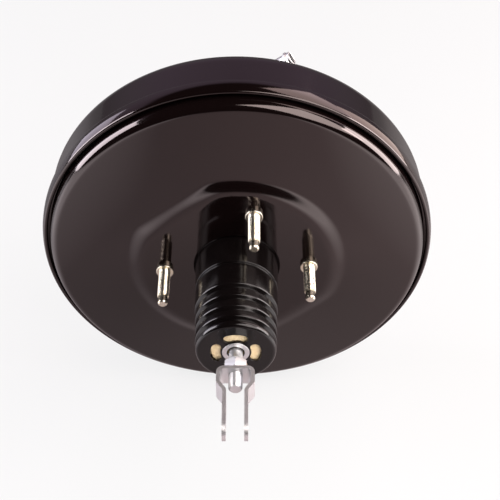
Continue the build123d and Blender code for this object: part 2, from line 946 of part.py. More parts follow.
# Pressed washer on the rod's collar that the tapered spring sits on
def input_spring_seat():
    front = rod_collar_y + rod_collar_t + spring_seat_t
    return tube(rod_r, spring_seat_r, front - spring_seat_t, front)


# Input rod with its ball, neck, collar and threaded end
def input_rod():
    shank = turned(
        (0, rod_end_y),
        (rod_r - rod_point, rod_end_y),
        (rod_r, rod_end_y + rod_point),
        (rod_r, rod_collar_y),
        (rod_r + rod_collar_width, rod_collar_y),
        (rod_r + rod_collar_width, rod_collar_y + rod_collar_t),
        (rod_r, rod_collar_y + rod_collar_t),
        (rod_r, rod_neck_end_y),
        (rod_neck_r, rod_neck_end_y + rod_point),
        (rod_neck_r, ball_y),
        (0, ball_y),
    )
    return shank + Pos(0, ball_y, 0) * Sphere(ball_r)


# Nut that locks the clevis on the rod
def lock_nut():
    hexagon = RegularPolygon(nut_flats / 2, 6, major_radius=False, rotation=30)
    front = clevis_base_y + nut_t
    corner_r = nut_flats / 2 / cos(radians(30))
    nut = across(hexagon, clevis_base_y, front)
    nut &= turned(
        (0, clevis_base_y),
        (corner_r - nut_chamfer, clevis_base_y),
        (corner_r, clevis_base_y + nut_chamfer / 2),
        (corner_r, front - nut_chamfer / 2),
        (corner_r - nut_chamfer, front),
        (0, front),
    )
    return nut - rod(rod_r, clevis_base_y, front)


# Clevis bent from one strip: a wide base on the rod, shoulders, and two prongs for the pin
def clevis():
    half = clevis_sheet / 2
    base = clevis_base_width / 2 - half
    prong = clevis_prong_width / 2 - half
    tip_y = clevis_pin_y - clevis_half_height
    right = [
        (base, clevis_base_y - half),
        (base, clevis_shoulder_y),
        (prong, clevis_prong_start_y),
        (prong, tip_y),
    ]
    left = [(-x, y) for x, y in reversed(right)]
    strip = trace(FilletPolyline(*left, *right, radius=clevis_bend), clevis_sheet)
    fork = extrude(strip, amount=clevis_half_height, both=True)
    side = Pos(clevis_pin_y, 0) * Circle(clevis_half_height)
    side += Rectangle(
        clevis_base_y - clevis_pin_y,
        2 * clevis_half_height,
        align=(Align.MIN, Align.CENTER),
    ).moved(Pos(clevis_pin_y, 0))
    outline = extrude(Plane.YZ * side, amount=clevis_base_width, both=True)
    pin_hole = Pos(0, clevis_pin_y, 0) * Rot(0, 90, 0)
    pin_hole *= Cylinder(clevis_pin_hole_r, 2 * clevis_base_width)
    rod_hole = rod(rod_r, clevis_base_y - clevis_sheet, clevis_base_y)
    return (fork & outline) - pin_hole - rod_hole


# Open-cell foam ring that cleans the air drawn in through the boot's vents
def air_filter():
    return tube(
        filter_hole_r, filter_bore_r, filter_rear_y, filter_ledge_y - silencer_length
    )


# Felt ring in front of the foam that quietens the air
def filter_silencer():
    return tube(
        filter_hole_r, filter_bore_r, filter_ledge_y - silencer_length, filter_ledge_y
    )


# Rubber boot: a cuff on the neck, a bellows of five lobes, and an end wall with four vents
def boot():
    half = boot_wall / 2
    base_y = rear_face_y - boot_base_gap
    cuff = turned(
        (neck_r, boot_cuff_end_y),
        (boot_cuff_r - boot_cuff_taper, boot_cuff_end_y),
        (boot_cuff_r, -boot_wall),
        (boot_cuff_r, base_y),
        (neck_root_r, base_y),
        (neck_r, base_y - neck_root_r + neck_r),
    )
    line = [(neck_r + half + boot_base_gap, boot_cuff_end_y + half)]
    bends = []
    grooves = [boot_end_y + sum(boot_lobe_lengths[:n]) for n in range(len(boot_lobe_heights))]
    grooves = [boot_cuff_end_y - boot_first_groove_gap, *reversed(grooves)]
    for lobe, lobe_height in enumerate(reversed(boot_lobe_heights)):
        start, end = grooves[lobe], grooves[lobe + 1]
        lobe_r = neck_r + lobe_height
        depth = boot_groove_depth if lobe else boot_first_groove_depth
        line.append((lobe_r - depth - half, start))
        line.append((lobe_r - half, start - boot_groove_half))
        bends += [boot_groove_bend, boot_lobe_corner]
        if lobe < len(boot_lobe_lengths):
            line.append((lobe_r - half, end + boot_groove_half))
            bends.append(boot_lobe_corner)
    line += [
        (neck_r + boot_lobe_heights[0] - half, boot_end_y + half),
        (end_ring_r, boot_end_y + half),
    ]
    bends.append(boot_end_corner - half)
    bellows = pressed(line, bends, boot_wall)
    lip = tube(
        end_ring_r - boot_lip_width,
        end_ring_r + boot_lip_width,
        boot_end_y + boot_wall,
        boot_lip_front_y,
    )
    vent_angle = degrees((vent_length - vent_width) / vent_pitch_r)
    boot_solid = cuff + bellows + lip
    for side in (0, 90, 180, 270):
        arc = CenterArc((0, 0), vent_pitch_r, side - vent_angle / 2, vent_angle)
        boot_solid -= across(SlotArc(arc, vent_width), boot_end_y - half, boot_lip_front_y + half)
    return boot_solid


# Zinc-plated ring in the boot's end that the input rod passes through
def boot_end_ring():
    outer = end_ring_r - end_ring_fit
    front = boot_end_y + boot_wall - running_clearance
    return tube(end_ring_hole_r, outer, front - end_ring_t, front)


# Rubber grommet that seals the check valve in the front shell
def check_valve_grommet():
    bore = stem_r + running_clearance
    return at_check_valve(
        turned(
            (bore, grommet_inner_y),
            (grommet_neck_r, grommet_inner_y),
            (grommet_neck_r + grommet_inner_width, front_inner_y),
            (grommet_neck_r, front_inner_y),
            (grommet_neck_r, front_face_y),
            (grommet_neck_r + grommet_flange_width, front_face_y),
            (grommet_neck_r + grommet_flange_width, grommet_outer_y),
            (bore, grommet_outer_y),
        )
    )


# Lower half of the check valve: stem in the grommet, flange and seat
def check_valve_base():
    foot_y = grommet_inner_y - stem_below
    return at_check_valve(
        turned(
            (stem_bore_r, foot_y),
            (stem_r, foot_y),
            (stem_r, check_base_y),
            (valve_case_r, check_base_y),
            (valve_case_r, check_case_y),
            (check_seat_r, check_case_y),
            (check_seat_r, check_seat_y),
            (check_seat_r - check_seat_width, check_seat_y),
            (check_seat_r - check_seat_width, check_case_y),
            (stem_bore_r, check_case_y),
        )
    )


def nipple_axis():
    """The nipple's middle line: it leaves the case square to the stem."""
    centre = (check_valve_x, check_case_y + nipple_axis_height, check_valve_z)
    turn = radians(nipple_turn)
    return Plane(origin=centre, x_dir=(0, 1, 0), z_dir=(cos(turn), 0, sin(turn)))


# Upper half of the check valve, a plastic case with the socket for the nipple
def check_valve_cap():
    bottom = check_case_y
    top = check_roof_y + valve_case_wall
    inner_r = valve_case_r - valve_case_wall
    case = turned(
        (inner_r, bottom),
        (valve_case_r, bottom),
        (valve_case_r, top - valve_case_wall),
        (valve_case_r - valve_case_wall, top),
        (0, top),
        (0, check_roof_y),
        (inner_r, check_roof_y),
    )
    case = at_check_valve(case)
    boss_r = nipple_r + valve_case_wall
    boss_length = valve_case_r + valve_case_wall
    boss = nipple_axis() * Cylinder(boss_r, boss_length, align=(Align.CENTER, Align.CENTER, Align.MIN))
    core = at_check_valve(rod(inner_r, bottom, check_roof_y))
    floor = at_check_valve(rod(2 * boss_length, bottom - valve_case_r, bottom))
    socket = nipple_axis() * Cylinder(nipple_r, 2 * boss_length, align=(Align.CENTER, Align.CENTER, Align.MIN))
    return case + boss - core - floor - socket


# Zinc-plated steel tube that the vacuum hose is pushed onto
def check_valve_nipple():
    start = valve_case_r - valve_case_wall + nipple_grip
    bead = nipple_reach - nipple_bead_back
    back = bead - nipple_bead_length
    bore_r = nipple_r - nipple_wall
    bead_r = nipple_r + nipple_bead_height
    profile = Polyline(
        (bore_r, start),
        (nipple_r, start),
        (nipple_r, back),
        (bead_r, back + nipple_bead_length / 3),
        (bead_r, bead - nipple_bead_length / 3),
        (nipple_r, bead),
        (nipple_r, nipple_reach),
        (bore_r, nipple_reach),
        close=True,
    )
    upright = revolve(Plane.XZ * make_face(profile), Axis.Z)
    return nipple_axis() * upright


# Rubber disc that lifts off the seat when the engine draws air, until its stem meets the case
def check_valve_disc():
    stem_end_y = check_roof_y - check_valve_lift
    return at_check_valve(
        turned(
            (0, check_seat_y),
            (check_disc_r, check_seat_y),
            (check_disc_r, check_disc_top_y),
            (check_stem_r, check_disc_top_y),
            (check_stem_r, stem_end_y),
            (0, stem_end_y),
        )
    )


# Light spring between the disc and the top of the case
def check_valve_spring():
    spring = coil(
        check_spring_r,
        check_spring_r,
        check_spring_wire,
        check_disc_top_y,
        check_roof_y,
        check_spring_turns,
    )
    return at_check_valve(spring)


pieces = (
    rear_shell,
    rear_reinforcement_plate,
    bulkhead_studs,
    front_shell,
    front_reinforcement_plate,
    master_cylinder_studs,
    hub_bush,
    hub_seal,
    hub_seal_retainer,
    valve_body,
    diaphragm_plate,
    diaphragm,
    plate_retainer,
    return_spring,
    reaction_disc,
    output_rod,
    output_rod_screw,
    front_seal,
    valve_plunger,
    ball_cup,
    stop_key,
    poppet_valve,
    poppet_retainer,
    poppet_spring,
    input_return_spring,
    input_spring_seat,
    input_rod,
    lock_nut,
    clevis,
    air_filter,
    filter_silencer,
    boot,
    boot_end_ring,
    check_valve_grommet,
    check_valve_base,
    check_valve_cap,
    check_valve_nipple,
    check_valve_disc,
    check_valve_spring,
)
for piece in pieces:
    save(piece.__name__, piece())
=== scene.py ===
from math import radians

import bmesh
import bpy
import numpy as np
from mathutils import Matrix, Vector


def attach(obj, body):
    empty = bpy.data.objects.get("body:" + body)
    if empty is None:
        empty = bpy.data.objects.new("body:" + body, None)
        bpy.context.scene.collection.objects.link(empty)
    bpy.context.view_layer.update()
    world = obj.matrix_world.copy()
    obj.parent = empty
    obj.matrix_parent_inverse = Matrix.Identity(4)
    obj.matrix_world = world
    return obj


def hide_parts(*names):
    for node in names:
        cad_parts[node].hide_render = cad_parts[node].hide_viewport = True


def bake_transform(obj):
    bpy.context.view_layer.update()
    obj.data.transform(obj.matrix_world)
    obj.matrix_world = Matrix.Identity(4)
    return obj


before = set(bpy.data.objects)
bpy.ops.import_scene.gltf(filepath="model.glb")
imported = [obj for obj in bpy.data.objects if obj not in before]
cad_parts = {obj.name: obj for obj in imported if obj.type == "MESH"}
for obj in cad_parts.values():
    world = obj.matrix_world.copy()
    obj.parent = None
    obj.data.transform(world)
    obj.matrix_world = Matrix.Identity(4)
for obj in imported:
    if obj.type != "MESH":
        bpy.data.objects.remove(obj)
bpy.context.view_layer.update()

# Vacuum brake booster, seen from the pedal side. Sizes in the sections are millimetres.
# +Y points forward along the push rods, +Z is up, and the origin is on the bulkhead pad's plane.


# Rear cover
# Deep-drawn steel dish, 1.8 mm sheet, with the neck that the boot grips and the raised bulkhead pad.
# Painted gloss black after pressing, so every bend is soft and the paint flows evenly over it.
def rounded(corners, bends, run=2.0, turn=6.0):
    """Line through (radius, y) corners. At each inner corner an arc of its bend replaces the corner:
    the arc's centre lies bend / sin(half angle) along the corner's bisector. Straight runs are then
    divided evenly into lengths of at most run, and arcs into steps of about turn degrees."""
    corners = np.array(corners, float)
    parts = [corners[:1]]
    for before, corner, after, bend in zip(corners[:-2], corners[1:-1], corners[2:], bends):
        back = (before - corner) / np.linalg.norm(before - corner)
        ahead = (after - corner) / np.linalg.norm(after - corner)
        half = np.arccos(np.clip(back @ ahead, -1, 1)) / 2
        sweep = np.pi - 2 * half
        middle = (back + ahead) / np.linalg.norm(back + ahead)
        centre = corner + middle * bend / np.sin(half)
        start = corner + back * bend / np.tan(half) - centre
        end = corner + ahead * bend / np.tan(half) - centre
        share = np.linspace(0, 1, int(np.degrees(sweep) / turn) + 2)[:, None]
        arc = (np.sin((1 - share) * sweep) * start + np.sin(share * sweep) * end) / np.sin(sweep)
        parts.append(centre + arc if bend else corner[None])
    parts.append(corners[-1:])
    line = np.concatenate(parts)
    counts = np.maximum(1, np.ceil(np.linalg.norm(np.diff(line, axis=0), axis=1) / run)).astype(int)
    first = np.repeat(np.arange(len(counts)), counts)
    within = np.arange(counts.sum()) - np.repeat(np.cumsum(counts) - counts, counts)
    share = (within / counts[first])[:, None]
    inner = line[first] * (1 - share) + line[first + 1] * share
    return np.concatenate([inner, line[-1:]])


def sheet_section(middle_line, thickness):
    """Closed outline of a bent sheet: each side lies half a thickness from the middle line,
    along the line's normal, and the far side runs back to the start."""
    along = np.gradient(middle_line, axis=0)
    along /= np.linalg.norm(along, axis=1)[:, None]
    across = np.stack([-along[:, 1], along[:, 0]], axis=1) * thickness / 2
    return np.concatenate([middle_line + across, (middle_line - across)[::-1], middle_line[:1] + across[:1]])


def turned(profile, steps, first=0.0):
    """Profile point (radius, y) at angle a goes to (radius cos a, y, radius sin a). The angles go once
    round in even steps from the first."""
    angle = np.linspace(first, first + 2 * np.pi, steps, endpoint=False)
    radius, y = profile[:, :1], profile[:, 1:]
    return np.stack([radius * np.cos(angle), y + 0 * angle, radius * np.sin(angle)], axis=-1)


def surface(name, material, *grids, crease=40):
    """One mesh from grids of millimetre points (row, column, xyz): each point joins its neighbours into
    faces, the last column joins the first, and points that fall together are merged."""
    quads = []
    start = 0
    for grid in grids:
        rows, columns = grid.shape[:2]
        here = start + np.arange(rows * columns).reshape(rows, columns)
        painted_shade_beside = np.roll(here, -1, axis=1)
        quads.append(np.stack([here[:-1], painted_shade_beside[:-1], painted_shade_beside[1:], here[1:]], axis=-1).reshape(-1, 4))
        start += rows * columns
    points = np.concatenate([grid.reshape(-1, 3) for grid in grids]) / 1000
    mesh = bpy.data.meshes.new(name)
    mesh.from_pydata(points.tolist(), [], np.concatenate(quads).tolist())
    shell = bmesh.new()
    shell.from_mesh(mesh)
    bmesh.ops.remove_doubles(shell, verts=shell.verts, dist=2e-6)
    bmesh.ops.recalc_face_normals(shell, faces=shell.faces)
    shell.to_mesh(mesh)
    shell.free()
    mesh.materials.append(material)
    mesh.shade_smooth()
    mesh.set_sharp_from_angle(angle=radians(crease))
    piece = bpy.data.objects.new(name, mesh)
    bpy.context.scene.collection.objects.link(piece)
    return piece


def colour(code):
    """Linear colour of an sRGB hex value: c / 12.92 near black, else ((c + 0.055) / 1.055) ^ 2.4."""
    channels = np.array([int(code[i:i + 2], 16) for i in (1, 3, 5)]) / 255
    linear = np.where(channels > 0.04045, ((channels + 0.055) / 1.055) ** 2.4, channels / 12.92)
    return (*linear.tolist(), 1.0)


def add_node(tree, kind, inputs, **settings):
    """One node with its settings; an input takes a plain value, or a link where it is given a socket."""
    node = tree.nodes.new(kind)
    for name, value in settings.items():
        setattr(node, name, value)
    for name, value in inputs.items():
        if isinstance(value, bpy.types.NodeSocket):
            tree.links.new(value, node.inputs[name])
        else:
            node.inputs[name].default_value = value
    return node


def new_finish(name, **inputs):
    """A material with its shader's plain values set, its node tree, its shader and Object coordinates."""
    material = bpy.data.materials.new(name)
    material.use_nodes = True
    tree = material.node_tree
    shader = tree.nodes["Principled BSDF"]
    for socket, value in inputs.items():
        shader.inputs[socket.replace("_", " ")].default_value = value
    place = add_node(tree, "ShaderNodeTexCoord", {}).outputs["Object"]
    return material, tree, shader, place


def join(tree, shader, tone, relief, gloss=None):
    """Lead a finish's colour, its relief and, where it varies, its roughness to the shader."""
    tree.links.new(tone.outputs[2], shader.inputs["Base Color"])
    if gloss:
        tree.links.new(gloss.outputs["Result"], shader.inputs["Roughness"])
    tree.links.new(relief.outputs["Normal"], shader.inputs["Normal"])


# Baked gloss enamel over drawn steel: a deep brown-black that mirrors the room at about 4 percent,
# with orange peel some 2 mm across and a very slight haze that comes and goes over the panel.
black_enamel, tree, shader, place = new_finish(
    "black_enamel", IOR=1.52, Metallic=0.0, Specular_Tint=colour("#fff0ee")
)
peel = add_node(tree, "ShaderNodeTexNoise", {"Vector": place, "Scale": 1000 / 2.2, "Detail": 1.0})
haze = add_node(tree, "ShaderNodeTexNoise", {"Vector": place, "Scale": 1000 / 55, "Detail": 4.0})
tone = add_node(
    tree,
    "ShaderNodeMix",
    {0: haze.outputs["Fac"], 6: colour("#060303"), 7: colour("#0b0606")},
    data_type="RGBA",
)
gloss = add_node(
    tree,
    "ShaderNodeMapRange",
    {"Value": haze.outputs["Fac"], "From Min": 0.3, "From Max": 0.7, "To Min": 0.06, "To Max": 0.11},
)
relief = add_node(
    tree, "ShaderNodeBump", {"Height": peel.outputs["Fac"], "Strength": 0.04, "Distance": 0.0002}
)
join(tree, shader, tone, relief, gloss)

rear_sheet, neck_middle_r, neck_end_y, wall_middle_r, flange_y = 1.8, 24.6, -22.0, 130.1, 26.4
cover_line = rounded(
    [
        (neck_middle_r, neck_end_y),
        (neck_middle_r, 2.1),
        (60.0, 2.1),
        (wall_middle_r, 13.7),
        (wall_middle_r, flange_y),
        (135.1, flange_y),
    ],
    [3.5, 40.0, 6.1, 1.8],
    run=1.3,
)
cover_section = sheet_section(cover_line, rear_sheet)
cover_grid = turned(cover_section, 320)

# The pad is a disc of radius 63 cut by two lines 56 from the middle, turned 39.4 degrees, with its
# corners eased: its outline distance is a smooth maximum of the two distances, and over 14 mm outside
# it the sheet runs from the pad's level back to the dish with a smoothstep.
pad_round_r, pad_half_height, pad_turn, pad_lead, pad_slope = 63.0, 56.0, radians(39.4), 0.5, 14.0
pad_hole_r, pad_reach_r = 28.9, 85.0
x, y, z = np.moveaxis(cover_grid, -1, 0)
radius = np.hypot(x, z)
round_gap = radius - pad_round_r
flat_gap = np.abs(z * np.cos(pad_turn) - x * np.sin(pad_turn)) - pad_half_height
outline_gap = np.logaddexp(round_gap, flat_gap)
share = np.clip((outline_gap + pad_lead) / pad_slope, 0, 1)
share = share * share * (3 - 2 * share)
outer_side = (np.arange(len(cover_section)) >= len(cover_line))[:, None]
pad_level = np.where(outer_side, 0.0, rear_sheet)
on_face = (radius > pad_hole_r) & (radius < pad_reach_r) & (y > -1)
cover_grid[..., 1] = np.where(on_face, pad_level + (y - pad_level) * share, y)
rear_cover = surface("rear_cover", black_enamel, cover_grid, crease=50)
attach(rear_cover, "housing")
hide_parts("rear_shell")


# Bulkhead studs
# Four cold-headed M8 steel studs, clinched through the pad: collar, rolled thread, groove, pilot point.
# They are yellow-zinc plated after the thread is rolled, so pale that they look nearly silver.
def threaded(grid, start_y, end_y, pitch, depth):
    """Thread cut into a turned grid between two places: the radius shrinks by depth times a rounded
    tooth wave of y / pitch less angle / full turn, and fades in over one pitch at either end."""
    x, y, z = np.moveaxis(grid, -1, 0)
    phase = y / pitch - np.arctan2(z, x) / (2 * np.pi)
    tooth = np.abs(2 * (phase - np.floor(phase)) - 1)
    tooth = np.clip(1.25 * tooth - 0.1, 0, 1)
    fade = np.clip((y - start_y) / pitch, 0, 1) * np.clip((end_y - y) / pitch, 0, 1)
    radius = np.hypot(x, z)
    scale = 1 - depth * tooth * fade / np.maximum(radius, 1e-6)
    return np.stack([x * scale, y, z * scale], axis=-1)


# Zinc with a yellow passivate: pale silver-gold metal, soft-edged reflections, and a faint drift from
# straw to grey in patches about 9 mm across, with a fine grain of rolling marks.
yellow_zinc, tree, shader, place = new_finish("yellow_zinc_plate", Metallic=1.0)
drift = add_node(tree, "ShaderNodeTexNoise", {"Vector": place, "Scale": 1000 / 9, "Detail": 3.0})
grain = add_node(tree, "ShaderNodeTexNoise", {"Vector": place, "Scale": 1000 / 0.6, "Detail": 2.0})
tone = add_node(
    tree,
    "ShaderNodeMix",
    {0: drift.outputs["Fac"], 6: colour("#d2c8ac"), 7: colour("#c6c3bc")},
    data_type="RGBA",
)
gloss = add_node(
    tree,
    "ShaderNodeMapRange",
    {"Value": grain.outputs["Fac"], "From Min": 0.3, "From Max": 0.7, "To Min": 0.16, "To Max": 0.30},
)
relief = add_node(
    tree, "ShaderNodeBump", {"Height": grain.outputs["Fac"], "Strength": 0.15, "Distance": 0.0001}
)
join(tree, shader, tone, relief, gloss)

stud_tip_y, stud_groove_y, stud_collar_y = -34.0, -27.8, -3.0
stud_profile = rounded(
    [
        (0, stud_tip_y),
        (2.35, stud_tip_y),
        (3.25, stud_tip_y + 0.9),
        (3.25, stud_groove_y),
        (2.9, stud_groove_y),
        (2.9, stud_groove_y + 0.8),
        (3.55, stud_groove_y + 0.8),
        (4.0, stud_groove_y + 1.25),
        (4.0, stud_collar_y),
        (6.0, stud_collar_y),
        (6.0, 0.6),
        (6.0, 4.6),
        (8.0, 4.6),
        (8.0, 7.4),
        (0, 7.4),
    ],
    [0.4, 0.5, 0.1, 0.1, 0.1, 0.1, 0.1, 0.35, 0.5, 0, 0.1, 0.5, 0.5],
    run=0.2,
    turn=20,
)
thread_pitch, thread_depth = 1.25, 0.6
stud_grid = threaded(
    turned(stud_profile, 40), stud_groove_y + 1, stud_collar_y - 0.6, thread_pitch, thread_depth
)
half_long, half_short = 40.0, 30.0
across, along = np.meshgrid([-half_long, half_long], [-half_short, half_short])
stud_x = (across * np.cos(pad_turn) - along * np.sin(pad_turn)).ravel()
stud_z = (across * np.sin(pad_turn) + along * np.cos(pad_turn)).ravel()
bulkhead_studs = surface(
    "threaded_bulkhead_studs",
    yellow_zinc,
    *[stud_grid + [x, 0, z] for x, z in zip(stud_x, stud_z)],
    crease=35,
)
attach(bulkhead_studs, "housing")
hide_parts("bulkhead_studs")


# Front shell
# Deep-drawn steel pan, 1.6 mm sheet. Its rim is stepped out and rolled in over the rear cover's
# flange, and its face has the master cylinder's platform and the spigot recess.
pan_sheet, lip_r, rim_r, wall_r, recess_r = 1.6, 133.6, 136.2, 133.2, 21.8
step_y, face_y, platform_y, recess_y = 30.7, 69.2, 74.2, 64.8
pan_line = rounded(
    [
        (lip_r, 25.5),
        (lip_r, 15.5),
        (rim_r, 24.0),
        (rim_r, step_y),
        (wall_r, step_y),
        (wall_r, face_y),
        (62.8, face_y),
        (57.8, platform_y),
        (recess_r, platform_y),
        (recess_r, recess_y),
        (17.0, recess_y),
    ],
    [0.82, 20.0, 1.4, 1.3, 13.2, 4.0, 4.0, 2.5, 1.6],
    run=2.0,
)
pan_grid = turned(sheet_section(pan_line, pan_sheet), 240)
front_pan = surface("front_pan", black_enamel, pan_grid, crease=50)
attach(front_pan, "housing")
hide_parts("front_shell")


# Master cylinder studs
# Two M8 studs riveted into the ring inside the front shell, plated like the bulkhead studs.
# Their threads are rolled up to the platform, and a short shoulder fills the hole in the sheet.
master_half_gap, head_y, shoulder_y, seat_y, master_tip_y = 43.0, 67.9, 70.9, 75.0, 100.0
master_profile = rounded(
    [
        (0, head_y),
        (7.0, head_y),
        (7.0, shoulder_y),
        (4.6, shoulder_y),
        (4.6, seat_y),
        (4.0, seat_y),
        (4.0, master_tip_y - 0.9),
        (3.1, master_tip_y),
        (0, master_tip_y),
    ],
    [0.5, 0.5, 0.1, 0.3, 0.1, 0.3, 0.3],
    run=0.2,
    turn=20,
)
master_grid = threaded(
    turned(master_profile, 40), seat_y + 0.5, master_tip_y + 0.5, thread_pitch, thread_depth
)
master_studs = surface(
    "threaded_master_studs",
    yellow_zinc,
    master_grid - [master_half_gap, 0, 0],
    master_grid + [master_half_gap, 0, 0],
    crease=35,
)
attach(master_studs, "housing")
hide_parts("master_cylinder_studs")


# Plates, washers and other bare steel pressings
# The two reinforcement plates, the diaphragm's plate and its retaining cap, the stop key, the plunger
# and the small cups are blanked or drawn from cold-rolled sheet and only oiled.
def dress(material, *names):
    """Give CAD nodes a material in place of the frame's plain one."""
    for name in names:
        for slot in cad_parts[name].material_slots:
            slot.material = material


# Cold-rolled steel with an oil film: mid grey, satin, with rolling lines 0.5 mm apart along Z and
# cloudy patches where the oil has gathered and turned slightly brown.
oiled_steel, tree, shader, place = new_finish("oiled_cold_rolled_steel", Metallic=1.0)
rolled = add_node(tree, "ShaderNodeMapping", {"Vector": place, "Scale": (1.0, 1.0, 0.03)})
lines = add_node(
    tree,
    "ShaderNodeTexNoise",
    {"Vector": rolled.outputs["Vector"], "Scale": 1000 / 0.5, "Detail": 3.0},
)
clouds = add_node(tree, "ShaderNodeTexNoise", {"Vector": place, "Scale": 1000 / 18, "Detail": 5.0})
tone = add_node(
    tree,
    "ShaderNodeMix",
    {0: clouds.outputs["Fac"], 6: colour("#8e8a84"), 7: colour("#aba9a7")},
    data_type="RGBA",
)
gloss = add_node(
    tree,
    "ShaderNodeMapRange",
    {"Value": lines.outputs["Fac"], "From Min": 0.3, "From Max": 0.7, "To Min": 0.25, "To Max": 0.45},
)
relief = add_node(
    tree, "ShaderNodeBump", {"Height": lines.outputs["Fac"], "Strength": 0.1, "Distance": 0.0001}
)
join(tree, shader, tone, relief, gloss)
dress(
    oiled_steel,
    "rear_reinforcement_plate",
    "front_reinforcement_plate",
    "hub_seal_retainer",
    "diaphragm_plate",
    "plate_retainer",
    "stop_key",
    "poppet_retainer",
    "valve_plunger",
    "input_spring_seat",
)


# Diaphragm
# One rubber moulding with a fabric ply. Its outer bead is clamped in the rim, a roll hangs between the
# shell's wall and the plate, and its hub bead grips the piston. It is made in two strands that meet on
# the roll's crest.
# Fabric-backed rubber: matt black-grey, a square weave that shows through the thin rubber, drawn
# coarse with its threads 5 mm apart, and a light bloom.
ply_rubber, tree, shader, place = new_finish("fabric_ply_rubber", Metallic=0.0, IOR=1.5)
threads = []
for way in ("X", "Z"):
    inputs = {"Vector": place, "Scale": 62.5, "Distortion": 0.3}
    wave = add_node(tree, "ShaderNodeTexWave", inputs, bands_direction=way)
    threads.append(wave.outputs["Fac"])
weave = add_node(tree, "ShaderNodeMath", {0: threads[0], 1: threads[1]}, operation="MULTIPLY")
bloom = add_node(tree, "ShaderNodeTexNoise", {"Vector": place, "Scale": 1000 / 12, "Detail": 4.0})
tone = add_node(
    tree,
    "ShaderNodeMix",
    {0: bloom.outputs["Fac"], 6: colour("#1b1b1c"), 7: colour("#2b2b2c")},
    data_type="RGBA",
)
gloss = add_node(
    tree,
    "ShaderNodeMapRange",
    {"Value": bloom.outputs["Fac"], "From Min": 0.3, "From Max": 0.7, "To Min": 0.55, "To Max": 0.75},
)
relief = add_node(
    tree, "ShaderNodeBump", {"Height": weave.outputs["Value"], "Strength": 0.4, "Distance": 0.0002}
)
join(tree, shader, tone, relief, gloss)

skin, wall_strand_r, plate_strand_r, bead_y, hub_y = 1.5, 131.4, 119.55, 28.6, 14.95
roll_r = (wall_strand_r - plate_strand_r) / 2
crest_r, crest_y = wall_strand_r - roll_r, 43.65
outer_line = rounded(
    [(135.0, bead_y), (wall_strand_r, bead_y), (wall_strand_r, crest_y), (crest_r, crest_y)],
    [0.8, roll_r - 0.01],
)
inner_line = rounded(
    [
        (crest_r, crest_y),
        (plate_strand_r, crest_y),
        (plate_strand_r, 18.65),
        (60.0, hub_y),
        (30.2, hub_y),
        (30.2, 13.0),
        (28.0, 13.0),
    ],
    [roll_r - 0.01, 6.75, 40.0, 1.0, 0.8],
)
outer_grid = turned(sheet_section(outer_line, skin), 160)
inner_grid = turned(sheet_section(inner_line, skin), 160)
outer_strand = surface("diaphragm_outer_strand", ply_rubber, outer_grid)
inner_strand = surface("diaphragm_inner_strand", ply_rubber, inner_grid)
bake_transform(outer_strand)
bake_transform(inner_strand)
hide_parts("diaphragm")


# Power piston's body
# One compression moulding in a mineral-filled phenolic, which slides in the neck and holds the valve.
# Filled phenolic: brown-black, satin, with pale filler specks some 0.3 mm across and flow streaks.
phenolic, tree, shader, place = new_finish("filled_phenolic", Metallic=0.0, IOR=1.6)
flow = add_node(tree, "ShaderNodeMapping", {"Vector": place, "Scale": (1.0, 0.2, 1.0)})
streaks = add_node(
    tree, "ShaderNodeTexNoise", {"Vector": flow.outputs["Vector"], "Scale": 1000 / 5, "Detail": 5.0}
)
specks = add_node(tree, "ShaderNodeTexVoronoi", {"Vector": place, "Scale": 1000 / 0.9})
speck_mask = add_node(
    tree,
    "ShaderNodeMapRange",
    {"Value": specks.outputs["Distance"], "From Min": 0.12, "From Max": 0.2, "To Min": 0.35, "To Max": 0.0},
)
ground = add_node(
    tree,
    "ShaderNodeMix",
    {0: streaks.outputs["Fac"], 6: colour("#241a15"), 7: colour("#3a2b22")},
    data_type="RGBA",
)
tone = add_node(
    tree,
    "ShaderNodeMix",
    {0: speck_mask.outputs["Result"], 6: ground.outputs[2], 7: colour("#8d7a66")},
    data_type="RGBA",
)
gloss = add_node(
    tree,
    "ShaderNodeMapRange",
    {"Value": streaks.outputs["Fac"], "From Min": 0.3, "From Max": 0.7, "To Min": 0.3, "To Max": 0.5},
)
relief = add_node(
    tree, "ShaderNodeBump", {"Height": streaks.outputs["Fac"], "Strength": 0.1, "Distance": 0.0002}
)
join(tree, shader, tone, relief, gloss)
dress(phenolic, "valve_body")


# Guide ring and ball cup
# Turned and moulded nylon, left in its natural colour because it is never seen in service.
# Natural nylon: waxy off-white that yellows in patches, with faint turning rings 1.9 mm apart.
nylon, tree, shader, place = new_finish(
    "natural_nylon", Metallic=0.0, IOR=1.53, Subsurface_Weight=0.1, Subsurface_Scale=0.001
)
ageing = add_node(tree, "ShaderNodeTexNoise", {"Vector": place, "Scale": 1000 / 10, "Detail": 4.0})
rings = add_node(
    tree, "ShaderNodeTexWave", {"Vector": place, "Scale": 1000 / 6}, bands_direction="Y"
)
tone = add_node(
    tree,
    "ShaderNodeMix",
    {0: ageing.outputs["Fac"], 6: colour("#e9e3d2"), 7: colour("#d9cfb4")},
    data_type="RGBA",
)
gloss = add_node(
    tree,
    "ShaderNodeMapRange",
    {"Value": ageing.outputs["Fac"], "From Min": 0.3, "From Max": 0.7, "To Min": 0.35, "To Max": 0.5},
)
relief = add_node(
    tree, "ShaderNodeBump", {"Height": rings.outputs["Fac"], "Strength": 0.1, "Distance": 0.0001}
)
join(tree, shader, tone, relief, gloss)
dress(nylon, "hub_bush", "ball_cup")


